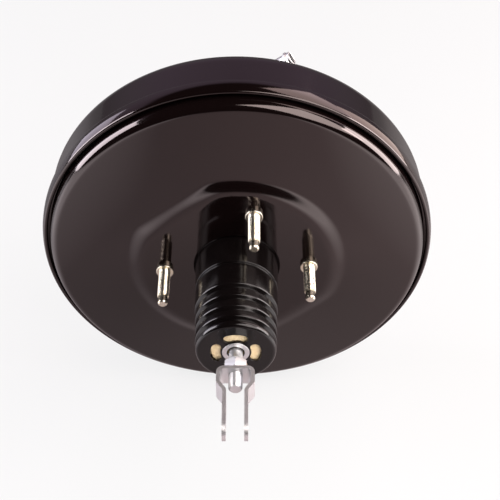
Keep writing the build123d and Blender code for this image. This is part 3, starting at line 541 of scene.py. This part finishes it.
# Seals, grommet, reaction disc, poppet and the check valve's disc
# Moulded black rubber pieces that keep the vacuum in, slightly dusty from the talc of assembly.
# Nitrile rubber: soft black, half matt, with a fine 0.4 mm mould texture and pale dust in patches.
seal_rubber, tree, shader, place = new_finish("moulded_nitrile_rubber", Metallic=0.0, IOR=1.52)
dust = add_node(tree, "ShaderNodeTexNoise", {"Vector": place, "Scale": 1000 / 6, "Detail": 5.0})
grain = add_node(tree, "ShaderNodeTexNoise", {"Vector": place, "Scale": 1000 / 0.4, "Detail": 2.0})
tone = add_node(
    tree,
    "ShaderNodeMix",
    {0: dust.outputs["Fac"], 6: colour("#121213"), 7: colour("#242322")},
    data_type="RGBA",
)
gloss = add_node(
    tree,
    "ShaderNodeMapRange",
    {"Value": dust.outputs["Fac"], "From Min": 0.3, "From Max": 0.7, "To Min": 0.4, "To Max": 0.6},
)
relief = add_node(
    tree, "ShaderNodeBump", {"Height": grain.outputs["Fac"], "Strength": 0.2, "Distance": 0.0001}
)
join(tree, shader, tone, relief, gloss)
dress(
    seal_rubber,
    "hub_seal",
    "front_seal",
    "reaction_disc",
    "poppet_valve",
    "check_valve_grommet",
    "check_valve_disc",
)


# Return spring and the small springs
# Coil springs of oil-hardened wire. The big one stands between the plate's cap and the front plate.
# Oil-hardened wire: blue-black scale with a dull shine, worn brighter in patches, drawn lines 0.3 mm.
spring_wire, tree, shader, place = new_finish("oil_hardened_spring_wire", Metallic=1.0)
scale_wear = add_node(tree, "ShaderNodeTexNoise", {"Vector": place, "Scale": 1000 / 4, "Detail": 6.0})
drawn = add_node(tree, "ShaderNodeTexNoise", {"Vector": place, "Scale": 1000 / 0.3, "Detail": 1.0})
tone = add_node(
    tree,
    "ShaderNodeMix",
    {0: scale_wear.outputs["Fac"], 6: colour("#3c3f45"), 7: colour("#7d7f84")},
    data_type="RGBA",
)
gloss = add_node(
    tree,
    "ShaderNodeMapRange",
    {"Value": scale_wear.outputs["Fac"], "From Min": 0.3, "From Max": 0.7, "To Min": 0.5, "To Max": 0.3},
)
relief = add_node(
    tree, "ShaderNodeBump", {"Height": drawn.outputs["Fac"], "Strength": 0.1, "Distance": 0.0001}
)
join(tree, shader, tone, relief, gloss)
dress(spring_wire, "poppet_spring", "input_return_spring", "check_valve_spring")


def coiled(start_r, end_r, wire, start_y, end_y, turns, steps_per_turn=48, around=14):
    """Wire of a tapered coil: its middle runs on a helix whose radius and y grow evenly with the angle,
    and the wire's circle lies across it in the plane of the radius and the axis. The end turns lie
    flat, because y only starts to climb after the first quarter turn, and each end closes to a point."""
    along = np.linspace(0, 1, int(turns * steps_per_turn))
    climb = np.clip((along * turns - 0.25) / (turns - 0.5), 0, 1)
    angle = along * turns * 2 * np.pi
    centre_r = start_r + (end_r - start_r) * along
    centre_y = start_y + wire / 2 + (end_y - start_y - wire) * climb
    rows = np.concatenate([[0, 0], np.arange(len(along)), [len(along) - 1] * 2])
    thick = np.full(len(rows), wire / 2)
    thick[[0, -1]] = 0
    thick[[1, -2]] = wire * 0.42
    section = np.linspace(0, 2 * np.pi, around, endpoint=False)
    radius = centre_r[rows, None] + thick[:, None] * np.cos(section)
    y = centre_y[rows, None] + thick[:, None] * np.sin(section)
    turn = angle[rows, None]
    return np.stack([radius * np.cos(turn), y, radius * np.sin(turn)], axis=-1)


coil_r, coil_wire, coil_start_y, coil_end_y, coil_turns = 33.5, 3.6, 18.0, 70.9, 4.5
coil_grid = coiled(coil_r, coil_r, coil_wire, coil_start_y, coil_end_y, coil_turns)
return_coil = surface("return_spring_coil", spring_wire, coil_grid, crease=60)
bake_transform(return_coil)
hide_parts("return_spring")


# Air filter in the piston's tube
# An open-cell foam ring behind the boot's vents, and a felt ring in front of it. The foam is cut a
# little long, so it swells towards the vents when the boot's end is pressed on.
# Reticulated polyurethane foam: cream that has yellowed, with 0.9 mm cells whose mouths are darkened with
# painted shade.
foam, tree, shader, place = new_finish("reticulated_foam", Metallic=0.0, IOR=1.4, Roughness=0.9)
cells = add_node(tree, "ShaderNodeTexVoronoi", {"Vector": place, "Scale": 1000 / 0.9})
patches = add_node(tree, "ShaderNodeTexNoise", {"Vector": place, "Scale": 1000 / 4, "Detail": 3.0})
ground = add_node(
    tree,
    "ShaderNodeMix",
    {0: patches.outputs["Fac"], 6: colour("#fdf0cc"), 7: colour("#f6dda6")},
    data_type="RGBA",
)
# Painted shade: the colour is darker and deeper yellow at the middle of each cell, where its mouth opens into
# the foam.
painted_shade_mouths = add_node(
    tree,
    "ShaderNodeMapRange",
    {"Value": cells.outputs["Distance"], "From Min": 0.05, "From Max": 0.35, "To Min": 0.55, "To Max": 0.0},
)
tone = add_node(
    tree,
    "ShaderNodeMix",
    {0: painted_shade_mouths.outputs["Result"], 6: ground.outputs[2], 7: colour("#d2a766")},
    data_type="RGBA",
)
relief = add_node(
    tree, "ShaderNodeBump", {"Height": cells.outputs["Distance"], "Strength": 0.6, "Distance": 0.0004}
)
join(tree, shader, tone, relief)

foam_bore_r, foam_r, foam_front_y = 8.2, 16.7, -60.0
foam_profile = rounded(
    [
        (foam_bore_r, -68.0),
        (foam_bore_r, foam_front_y),
        (foam_r, foam_front_y),
        (foam_r, -77.4),
        (9.6, -77.9),
        (foam_bore_r, -76.0),
        (foam_bore_r, -68.0),
    ],
    [0.5, 0.5, 1.2, 1.5, 1.0],
    run=0.5,
)
foam_grid = turned(foam_profile, 180)
wave_count, wave_length, swell_height, swell_y = 24, 1.6, 0.9, -76.5
cell_rng = np.random.default_rng(7)
waves = cell_rng.normal(0, 2 * np.pi / wave_length, (wave_count, 3))
starts = cell_rng.uniform(0, 2 * np.pi, wave_count)
swell = np.sin(foam_grid @ waves.T + starts).sum(axis=-1) / wave_count
foam_grid[..., 1] += swell_height * swell * (foam_grid[..., 1] < swell_y)
foam_ring = surface("filter_foam_ring", foam, foam_grid, crease=80)
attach(foam_ring, "power_piston")
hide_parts("air_filter")

# Needled felt: greyish white, no shine, with fibres drawn 1.2 mm long that lie every way.
felt, tree, shader, place = new_finish("needled_felt", Metallic=0.0, Roughness=0.95)
lie = add_node(tree, "ShaderNodeMapping", {"Vector": place, "Scale": (1.0, 0.3, 0.5)})
fibres = add_node(
    tree,
    "ShaderNodeTexNoise",
    {"Vector": lie.outputs["Vector"], "Scale": 1000 / 0.4, "Detail": 6.0, "Distortion": 2.0},
)
tone = add_node(
    tree,
    "ShaderNodeMix",
    {0: fibres.outputs["Fac"], 6: colour("#a9a59c"), 7: colour("#dcd9d2")},
    data_type="RGBA",
)
relief = add_node(
    tree, "ShaderNodeBump", {"Height": fibres.outputs["Fac"], "Strength": 0.6, "Distance": 0.0003}
)
join(tree, shader, tone, relief)
dress(felt, "filter_silencer")


# Boot
# One rubber moulding: a thick cuff on the neck, a bellows of five lobes, and an end wall with four
# kidney vents round the plated ring. The cuff stays on the shell and the end wall goes with the piston.
# EPDM rubber: deep black with a semi-gloss skin off the mould, parting haze in bands, 0.5 mm grain.
boot_rubber, tree, shader, place = new_finish("moulded_epdm_rubber", Metallic=0.0, IOR=1.36)
haze = add_node(tree, "ShaderNodeTexNoise", {"Vector": place, "Scale": 1000 / 14, "Detail": 4.0})
grain = add_node(tree, "ShaderNodeTexNoise", {"Vector": place, "Scale": 1000 / 0.5, "Detail": 2.0})
tone = add_node(
    tree,
    "ShaderNodeMix",
    {0: haze.outputs["Fac"], 6: colour("#040303"), 7: colour("#0a0707")},
    data_type="RGBA",
)
gloss = add_node(
    tree,
    "ShaderNodeMapRange",
    {"Value": haze.outputs["Fac"], "From Min": 0.3, "From Max": 0.7, "To Min": 0.13, "To Max": 0.2},
)
relief = add_node(
    tree, "ShaderNodeBump", {"Height": grain.outputs["Fac"], "Strength": 0.08, "Distance": 0.0001}
)
join(tree, shader, tone, relief, gloss)

boot_wall, end_y, end_flat_r, ring_seat_r = 1.8, -80.0, 23.4, 9.4
grooves = [(25.1, -45.5), (24.8, -55.5), (24.6, -65.0), (24.1, -74.0)]
lobes = [(27.9, -26.0), (27.9, -43.5), (27.4, -47.5), (27.4, -53.5), (27.1, -57.5)]
lobes += [(27.1, -63.0), (26.9, -67.0), (26.9, -72.0), (26.4, -76.0)]
bellows = [lobes[0]]
for index, groove in enumerate(grooves):
    bellows += [lobes[2 * index + 1], groove, lobes[2 * index + 2]]
outside = rounded(
    [(25.6, -10.0), (25.6, 0.9), (28.6, 0.9), (28.6, -1.8), (28.0, -23.0), (26.8, -23.2), (26.7, -24.0)]
    + bellows
    + [(26.4, end_y), (end_flat_r, end_y)],
    [0.4, 0.5, 6.0, 0.5, 0.3, 0.3, 2.4] + [1.2, 0.2, 1.2] * 4 + [2.9],
    run=1.2,
    turn=12,
)
inside = rounded(
    [(end_flat_r, end_y + boot_wall), (24.6, end_y + boot_wall)]
    + [(radius - boot_wall, y) for radius, y in reversed(bellows)]
    + [(24.9, -24.0), (25.6, -22.4), (25.6, -10.0)],
    [1.1] + [0.6, 1.9, 0.6] * 4 + [0.6, 0.6, 0.6],
    run=1.8,
    turn=20,
)
wall_line = np.concatenate([inside, outside[1:]])

# Round each vent the end wall is drawn as lines that leave the slot's middle arc square to it and end
# on the outline of that vent's quarter. Along a line the wall comes in from the outline, turns over the
# vent's rounded lip, goes through the sheet and returns inside.
vent_r, vent_half_width, vent_half_angle, lip, around = 13.35, 3.25, 0.356, 0.4, 192
arc = np.linspace(-np.pi / 4, np.pi / 4, around // 4 + 1)
side = np.linspace(ring_seat_r, end_flat_r, 14)[1:-1]
outline_a = np.concatenate([arc, 0 * side + np.pi / 4, arc[::-1], 0 * side - np.pi / 4])
outline_r = np.concatenate([0 * arc + end_flat_r, side[::-1], 0 * arc + ring_seat_r, side])
ends = np.stack([outline_r * np.cos(outline_a), outline_r * np.sin(outline_a)], axis=-1)
middle_a = np.clip(outline_a, -vent_half_angle, vent_half_angle)
middles = vent_r * np.stack([np.cos(middle_a), np.sin(middle_a)], axis=-1)
reach = np.linalg.norm(ends - middles, axis=1)
heading = (ends - middles) / reach[:, None]
fall = np.linspace(1, 0, 8)[:, None]
rise = np.linspace(0, np.pi / 2, 6)[1:, None]
mouth = vent_half_width + lip
distance = np.concatenate([
    mouth + fall * (reach - mouth),
    mouth - lip * np.sin(rise) + 0 * reach,
    vent_half_width + lip * (1 - np.cos(rise)) + 0 * reach,
    mouth + fall[::-1][1:] * (reach - mouth),
])
depth = np.concatenate([
    0 * fall,
    lip - lip * np.cos(rise),
    boot_wall - lip + lip * np.sin(rise),
    0 * fall[1:] + boot_wall,
])
flat = middles + distance[..., None] * heading
quarter = np.stack([flat[..., 0], end_y + depth + 0 * distance, flat[..., 1]], axis=-1)
quarters = []
for turns in range(4):
    cos_turn, sin_turn = np.cos(turns * np.pi / 2), np.sin(turns * np.pi / 2)
    x, y, z = np.moveaxis(quarter, -1, 0)
    quarters.append(np.stack([x * cos_turn - z * sin_turn, y, x * sin_turn + z * cos_turn], axis=-1))
seat_inner_r, seat_shelf_r, seat_depth = 9.1, 7.9, 2.8
seat = rounded(
    [
        (ring_seat_r, end_y),
        (seat_inner_r, end_y),
        (seat_inner_r, end_y + boot_wall),
        (seat_shelf_r, end_y + boot_wall),
        (seat_shelf_r, end_y + seat_depth),
        (ring_seat_r, end_y + seat_depth),
        (ring_seat_r, end_y + boot_wall),
    ],
    [0.25, 0.1, 0.3, 0.3, 0.3],
    run=0.6,
    turn=30,
)
walls = turned(wall_line, around, first=-np.pi / 4)
seat_ring = turned(seat, around, first=-np.pi / 4)
boot = surface("bellows_boot", boot_rubber, walls, seat_ring, *quarters, crease=50)
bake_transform(boot)
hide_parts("boot")


# Ring in the boot's end, input rod and lock nut
# The plated ring stands in the boot's end round the rod, and tilts and moves with it. The rod is
# cold-headed to its ball and threaded for the nut and the clevis, and all are bright-zinc plated.
# Bright zinc with a clear passivate: silver, softly blurred reflections, a drift from neutral to cool
# in patches about 7 mm across, and fine handling marks.
bright_zinc, tree, shader, place = new_finish("bright_zinc_plate", Metallic=1.0)
drift = add_node(tree, "ShaderNodeTexNoise", {"Vector": place, "Scale": 1000 / 7, "Detail": 3.0})
marks = add_node(tree, "ShaderNodeTexNoise", {"Vector": place, "Scale": 1000 / 0.7, "Detail": 3.0})
tone = add_node(
    tree,
    "ShaderNodeMix",
    {0: drift.outputs["Fac"], 6: colour("#cbcac9"), 7: colour("#d0d3d6")},
    data_type="RGBA",
)
gloss = add_node(
    tree,
    "ShaderNodeMapRange",
    {"Value": marks.outputs["Fac"], "From Min": 0.3, "From Max": 0.7, "To Min": 0.33, "To Max": 0.48},
)
relief = add_node(
    tree, "ShaderNodeBump", {"Height": marks.outputs["Fac"], "Strength": 0.1, "Distance": 0.0001}
)
join(tree, shader, tone, relief, gloss)
dress(bright_zinc, "output_rod", "output_rod_screw", "clevis")

ring_r, ring_bore_r, ring_rear_y, ring_front_y = 8.95, 5.75, -80.15, -78.25
ring_profile = rounded(
    [
        (7.4, ring_rear_y),
        (ring_r, ring_rear_y),
        (ring_r, ring_front_y),
        (ring_bore_r, ring_front_y),
        (ring_bore_r, ring_rear_y),
        (7.4, ring_rear_y),
    ],
    [0.45, 0.2, 0.3, 0.5],
    run=0.4,
    turn=15,
)
end_ring = surface("plated_end_ring", bright_zinc, turned(ring_profile, 96), crease=60)
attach(end_ring, "input_rod")
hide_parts("boot_end_ring")

rod_end_y, rod_thread_end_y, ball_y, ball_r = -111.0, -87.0, -7.2, 5.0
rod_r, ball_neck_r, rod_collar_r = 4.55, 3.6, 6.2
ball_meet_y = ball_y - (ball_r ** 2 - ball_neck_r ** 2) ** 0.5
ball_angle = np.linspace(-np.arccos(ball_neck_r / ball_r), np.pi / 2, 24)[:, None]
ball_arc = np.concatenate([ball_r * np.cos(ball_angle), ball_y + ball_r * np.sin(ball_angle)], axis=1)
shank = rounded(
    [
        (0, rod_end_y),
        (3.55, rod_end_y),
        (rod_r, rod_end_y + 1.0),
        (rod_r, -49.2),
        (rod_collar_r, -49.2),
        (rod_collar_r, -47.2),
        (rod_r, -47.2),
        (rod_r, -16.0),
        (ball_neck_r, -15.0),
        (ball_neck_r, ball_meet_y),
    ],
    [0.3, 0.3, 0.2, 0.3, 0.3, 0.2, 0.4, 0.4],
    run=0.2,
    turn=20,
)
rod_profile = np.concatenate([shank, ball_arc[1:]])
rod_grid = threaded(
    turned(rod_profile, 40), rod_end_y + 0.4, rod_thread_end_y, thread_pitch, thread_depth
)
push_rod = surface("threaded_push_rod", bright_zinc, rod_grid, crease=35)
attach(push_rod, "input_rod")
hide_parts("input_rod")

# The nut's side is a hexagon cut by a 30 degree cone at either end: its radius is the smaller of
# 7 / cos(angle within a flat) and the cone's radius there.
nut_start_y, nut_end_y, nut_bore_r, corner_r, flat_half, face_r = -97.2, -89.2, 4.6, 8.1, 7.0, 7.1
nut_profile = rounded(
    [
        (nut_bore_r, -93.0),
        (nut_bore_r, nut_end_y),
        (corner_r, nut_end_y),
        (corner_r, nut_start_y),
        (nut_bore_r, nut_start_y),
        (nut_bore_r, -93.0),
    ],
    [0.4, 0, 0, 0.4],
    run=0.35,
)
nut_grid = turned(nut_profile, 144)
x, y, z = np.moveaxis(nut_grid, -1, 0)
radius, angle = np.hypot(x, z), np.arctan2(z, x)
within_flat = (angle + np.pi / 6) % (np.pi / 3) - np.pi / 6
from_end = np.minimum(y - nut_start_y, nut_end_y - y)
cone = face_r + from_end / np.tan(radians(30))
limit = np.minimum(flat_half / np.cos(within_flat), cone)
scale = np.minimum(radius, limit) / radius
nut_grid = nut_grid * np.stack([scale, 0 * scale + 1, scale], axis=-1)
nut = surface("hexagon_lock_nut", bright_zinc, nut_grid, crease=25)
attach(nut, "input_rod")
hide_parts("lock_nut")


# Check valve
# A two-part plastic case in the grommet, with a beaded steel tube that takes the vacuum hose.
# Glass-filled black nylon: slightly grey, satin, with a 0.6 mm spark-eroded mould grain.
valve_plastic, tree, shader, place = new_finish("glass_filled_nylon", Metallic=0.0, IOR=1.53)
grain = add_node(tree, "ShaderNodeTexNoise", {"Vector": place, "Scale": 1000 / 0.6, "Detail": 3.0})
flow = add_node(tree, "ShaderNodeTexNoise", {"Vector": place, "Scale": 1000 / 8, "Detail": 4.0})
tone = add_node(
    tree,
    "ShaderNodeMix",
    {0: flow.outputs["Fac"], 6: colour("#17171a"), 7: colour("#26262a")},
    data_type="RGBA",
)
gloss = add_node(
    tree,
    "ShaderNodeMapRange",
    {"Value": grain.outputs["Fac"], "From Min": 0.3, "From Max": 0.7, "To Min": 0.35, "To Max": 0.55},
)
relief = add_node(
    tree, "ShaderNodeBump", {"Height": grain.outputs["Fac"], "Strength": 0.2, "Distance": 0.0001}
)
join(tree, shader, tone, relief, gloss)
dress(valve_plastic, "check_valve_base", "check_valve_cap")

nipple_turn, nipple_centre = radians(35), np.array([6.5, 82.05, 96.0])
nipple_bore_r, nipple_r, bead_r, nipple_start, nipple_end = 3.75, 4.75, 5.7, 8.9, 38.0
nipple_profile = rounded(
    [
        (nipple_bore_r, 20.0),
        (nipple_bore_r, nipple_start),
        (nipple_r, nipple_start),
        (nipple_r, 33.4),
        (bead_r, 34.2),
        (bead_r, 35.2),
        (nipple_r, 36.0),
        (nipple_r, nipple_end),
        (nipple_bore_r, nipple_end),
        (nipple_bore_r, 20.0),
    ],
    [0.1, 0.1, 0.8, 0.6, 0.6, 0.4, 0.4, 0.4],
    run=0.8,
    turn=15,
)
radial_y, length, radial_side = np.moveaxis(turned(nipple_profile, 72), -1, 0)
nipple_grid = np.stack([
    nipple_centre[0] + length * np.cos(nipple_turn) - radial_side * np.sin(nipple_turn),
    nipple_centre[1] + radial_y,
    nipple_centre[2] + length * np.sin(nipple_turn) + radial_side * np.cos(nipple_turn),
], axis=-1)
hose_nipple = surface("beaded_hose_nipple", bright_zinc, nipple_grid, crease=50)
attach(hose_nipple, "check_valve")
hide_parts("check_valve_nipple")


# Floor
# A flat floor just under the rim. It takes the object's soft shadow. The camera sees it with an even
# glow that keeps it near white. The other rays see pools of light to the left and right instead, with
# a darker strip in the middle and ahead of the object, which is what the enamel mirrors in the photo.
floor_finish, tree, shader, place = new_finish("pale_laminate", Metallic=0.0, Roughness=0.6, IOR=1.45)
mottle = add_node(tree, "ShaderNodeTexNoise", {"Vector": place, "Scale": 1000 / 300, "Detail": 2.0})
tone = add_node(
    tree,
    "ShaderNodeMix",
    {0: mottle.outputs["Fac"], 6: colour("#424343"), 7: colour("#464646")},
    data_type="RGBA",
)
rays = add_node(tree, "ShaderNodeLightPath", {})
across = add_node(tree, "ShaderNodeSeparateXYZ", {"Vector": place})
span = add_node(tree, "ShaderNodeMapRange", {"Value": across.outputs["X"], "From Min": -0.5, "From Max": 0.5})
ahead_side = add_node(
    tree,
    "ShaderNodeMapRange",
    {"Value": across.outputs["Y"], "From Min": -0.05, "From Max": 0.15, "To Max": 0.9},
    interpolation_type="SMOOTHSTEP",
)
distance = add_node(tree, "ShaderNodeVectorMath", {0: place}, operation="LENGTH")
far_off = add_node(
    tree,
    "ShaderNodeMapRange",
    {"Value": distance.outputs["Value"], "From Min": 0.18, "From Max": 0.38},
    interpolation_type="SMOOTHSTEP",
)
# Painted shade: close round the object, the glow that other rays see falls to 0.6 of its strength.
painted_shade_beside = add_node(
    tree,
    "ShaderNodeMapRange",
    {"Value": distance.outputs["Value"], "From Min": 0.17, "From Max": 0.28, "To Min": 0.6},
    interpolation_type="SMOOTHSTEP",
)
behind_side = add_node(
    tree,
    "ShaderNodeMapRange",
    {"Value": across.outputs["Y"], "From Min": -2.5, "From Max": -0.8, "To Max": 5.0},
    interpolation_type="SMOOTHSTEP",
)
dimming = add_node(
    tree,
    "ShaderNodeMath",
    {0: ahead_side.outputs["Result"], 1: far_off.outputs["Result"]},
    operation="MULTIPLY",
)
dimmed = add_node(
    tree,
    "ShaderNodeMath",
    {0: painted_shade_beside.outputs["Result"], 1: dimming.outputs["Value"]},
    operation="SUBTRACT",
)
fading = add_node(
    tree,
    "ShaderNodeMath",
    {0: dimmed.outputs["Value"], 1: behind_side.outputs["Result"]},
    operation="MULTIPLY",
)
# Painted light: the floor is no lamp, but it glows for other rays. The glow is brighter in pools to the left
# and right and darker in the middle, and the enamel mirrors it.
painted_light_pools = add_node(tree, "ShaderNodeValToRGB", {0: span.outputs["Result"]})
while len(painted_light_pools.color_ramp.elements) < 5:
    painted_light_pools.color_ramp.elements.new(0.5)
for stop, (position, code) in zip(
    painted_light_pools.color_ramp.elements,
    [(0.10, "#bab5b8"), (0.32, "#5e5557"), (0.46, "#675c5d"), (0.68, "#716566"), (0.86, "#c8c2c2")],
):
    stop.position = position
    stop.color = colour(code)
painted_reflection_glow = add_node(
    tree,
    "ShaderNodeVectorMath",
    {0: painted_light_pools.outputs["Color"], "Scale": fading.outputs["Value"]},
    operation="SCALE",
)
glow = add_node(
    tree,
    "ShaderNodeMix",
    {0: rays.outputs["Is Camera Ray"], 6: painted_reflection_glow.outputs["Vector"], 7: colour("#e6e6e6")},
    data_type="RGBA",
)
tree.links.new(tone.outputs[2], shader.inputs["Base Color"])
tree.links.new(glow.outputs[2], shader.inputs["Emission Color"])
shader.inputs["Emission Strength"].default_value = 1.0
floor_mesh = bpy.data.meshes.new("floor")
edge, floor_z = 4.0, -0.1371
floor_mesh.from_pydata(
    [(-edge, -edge, floor_z), (edge, -edge, floor_z), (edge, edge, floor_z), (-edge, edge, floor_z)],
    [],
    [(0, 1, 2, 3)],
)
floor_mesh.materials.append(floor_finish)
floor = bpy.data.objects.new("floor", floor_mesh)
bpy.context.scene.collection.objects.link(floor)


# Light
# A dark room with a dim lilac wall ahead, two windows at the left and right, a large softbox above the
# camera's right, and three small panels ahead: one high on the right, and two low at either side. The
# camera sees a plain pale backdrop.
world = bpy.data.worlds.new("studio")
world.use_nodes = True
bpy.context.scene.world = world
tree = world.node_tree
direction = add_node(tree, "ShaderNodeTexCoord", {}).outputs["Generated"]
heading = add_node(tree, "ShaderNodeSeparateXYZ", {"Vector": direction})
wall_ahead = [(0.0, "#7c747a"), (0.2, "#9c909c"), (0.42, "#b09db2"), (0.58, "#b09db2"), (0.68, "#0a090a")]
wall_behind = [(0.0, "#2a2829"), (0.06, "#141214"), (1.0, "#0a090a")]
heights = []
for stops in (wall_ahead, wall_behind):
    ramp = add_node(tree, "ShaderNodeValToRGB", {0: heading.outputs["Z"]})
    while len(ramp.color_ramp.elements) < len(stops):
        ramp.color_ramp.elements.new(0.5)
    for element, (position, code) in zip(ramp.color_ramp.elements, stops):
        element.position = position
        element.color = colour(code)
    heights.append(ramp.outputs["Color"])
facing = add_node(
    tree,
    "ShaderNodeMapRange",
    {"Value": heading.outputs["Y"], "From Min": -0.1, "From Max": 0.3},
    interpolation_type="SMOOTHSTEP",
)
sky = add_node(
    tree,
    "ShaderNodeMix",
    {0: facing.outputs["Result"], 6: heights[1], 7: heights[0]},
    data_type="RGBA",
)
rays = add_node(tree, "ShaderNodeLightPath", {})
room = add_node(
    tree,
    "ShaderNodeMix",
    {0: rays.outputs["Is Camera Ray"], 6: sky.outputs[2], 7: colour("#f2f2f2")},
    data_type="RGBA",
)
background = tree.nodes["Background"]
tree.links.new(room.outputs[2], background.inputs["Color"])
background.inputs["Strength"].default_value = 1.0


def softbox(name, place, width, height, power, tint):
    """An area lamp at a place in metres, turned so that its -Z points at the origin."""
    lamp = bpy.data.lights.new(name, "AREA")
    lamp.shape = "RECTANGLE"
    lamp.size, lamp.size_y = width, height
    lamp.energy = power
    lamp.color = colour(tint)[:3]
    holder = bpy.data.objects.new(name, lamp)
    holder.location = place
    holder.rotation_euler = (-Vector(place)).to_track_quat("-Z", "Y").to_euler()
    bpy.context.scene.collection.objects.link(holder)


softbox("window_left", (-1.31, 0.05, 0.50), 0.92, 1.0, 40, "#fdf8ff")
softbox("window_right", (1.33, -0.05, 0.43), 0.95, 0.92, 41, "#fff6f4")
softbox("overhead_right", (0.75, -0.59, 1.02), 1.35, 1.15, 36, "#fff4f0")
softbox("panel_right_high", (0.71, 0.69, 0.99), 0.75, 0.75, 6.5, "#ffe8e4")
softbox("panel_right_low", (1.16, 0.72, 0.315), 0.60, 0.86, 6.5, "#ffe6dc")
softbox("panel_left_low", (-1.16, 0.75, 0.243), 0.60, 0.62, 3.9, "#f4ecff")


# Camera
# A long lens 0.87 m from the pad, looking down 43 degrees along the rod, as the photograph was taken.
camera_data = bpy.data.cameras.new("camera")
camera_data.sensor_width = 36.0
camera_data.lens = 90.5
camera = bpy.data.objects.new("camera", camera_data)
camera.location = (0.0092, -0.6269, 0.6076)
camera.rotation_euler = (radians(46.67), 0, 0)
bpy.context.scene.collection.objects.link(camera)
bpy.context.scene.camera = camera
bpy.context.scene.view_settings.view_transform = "Standard"
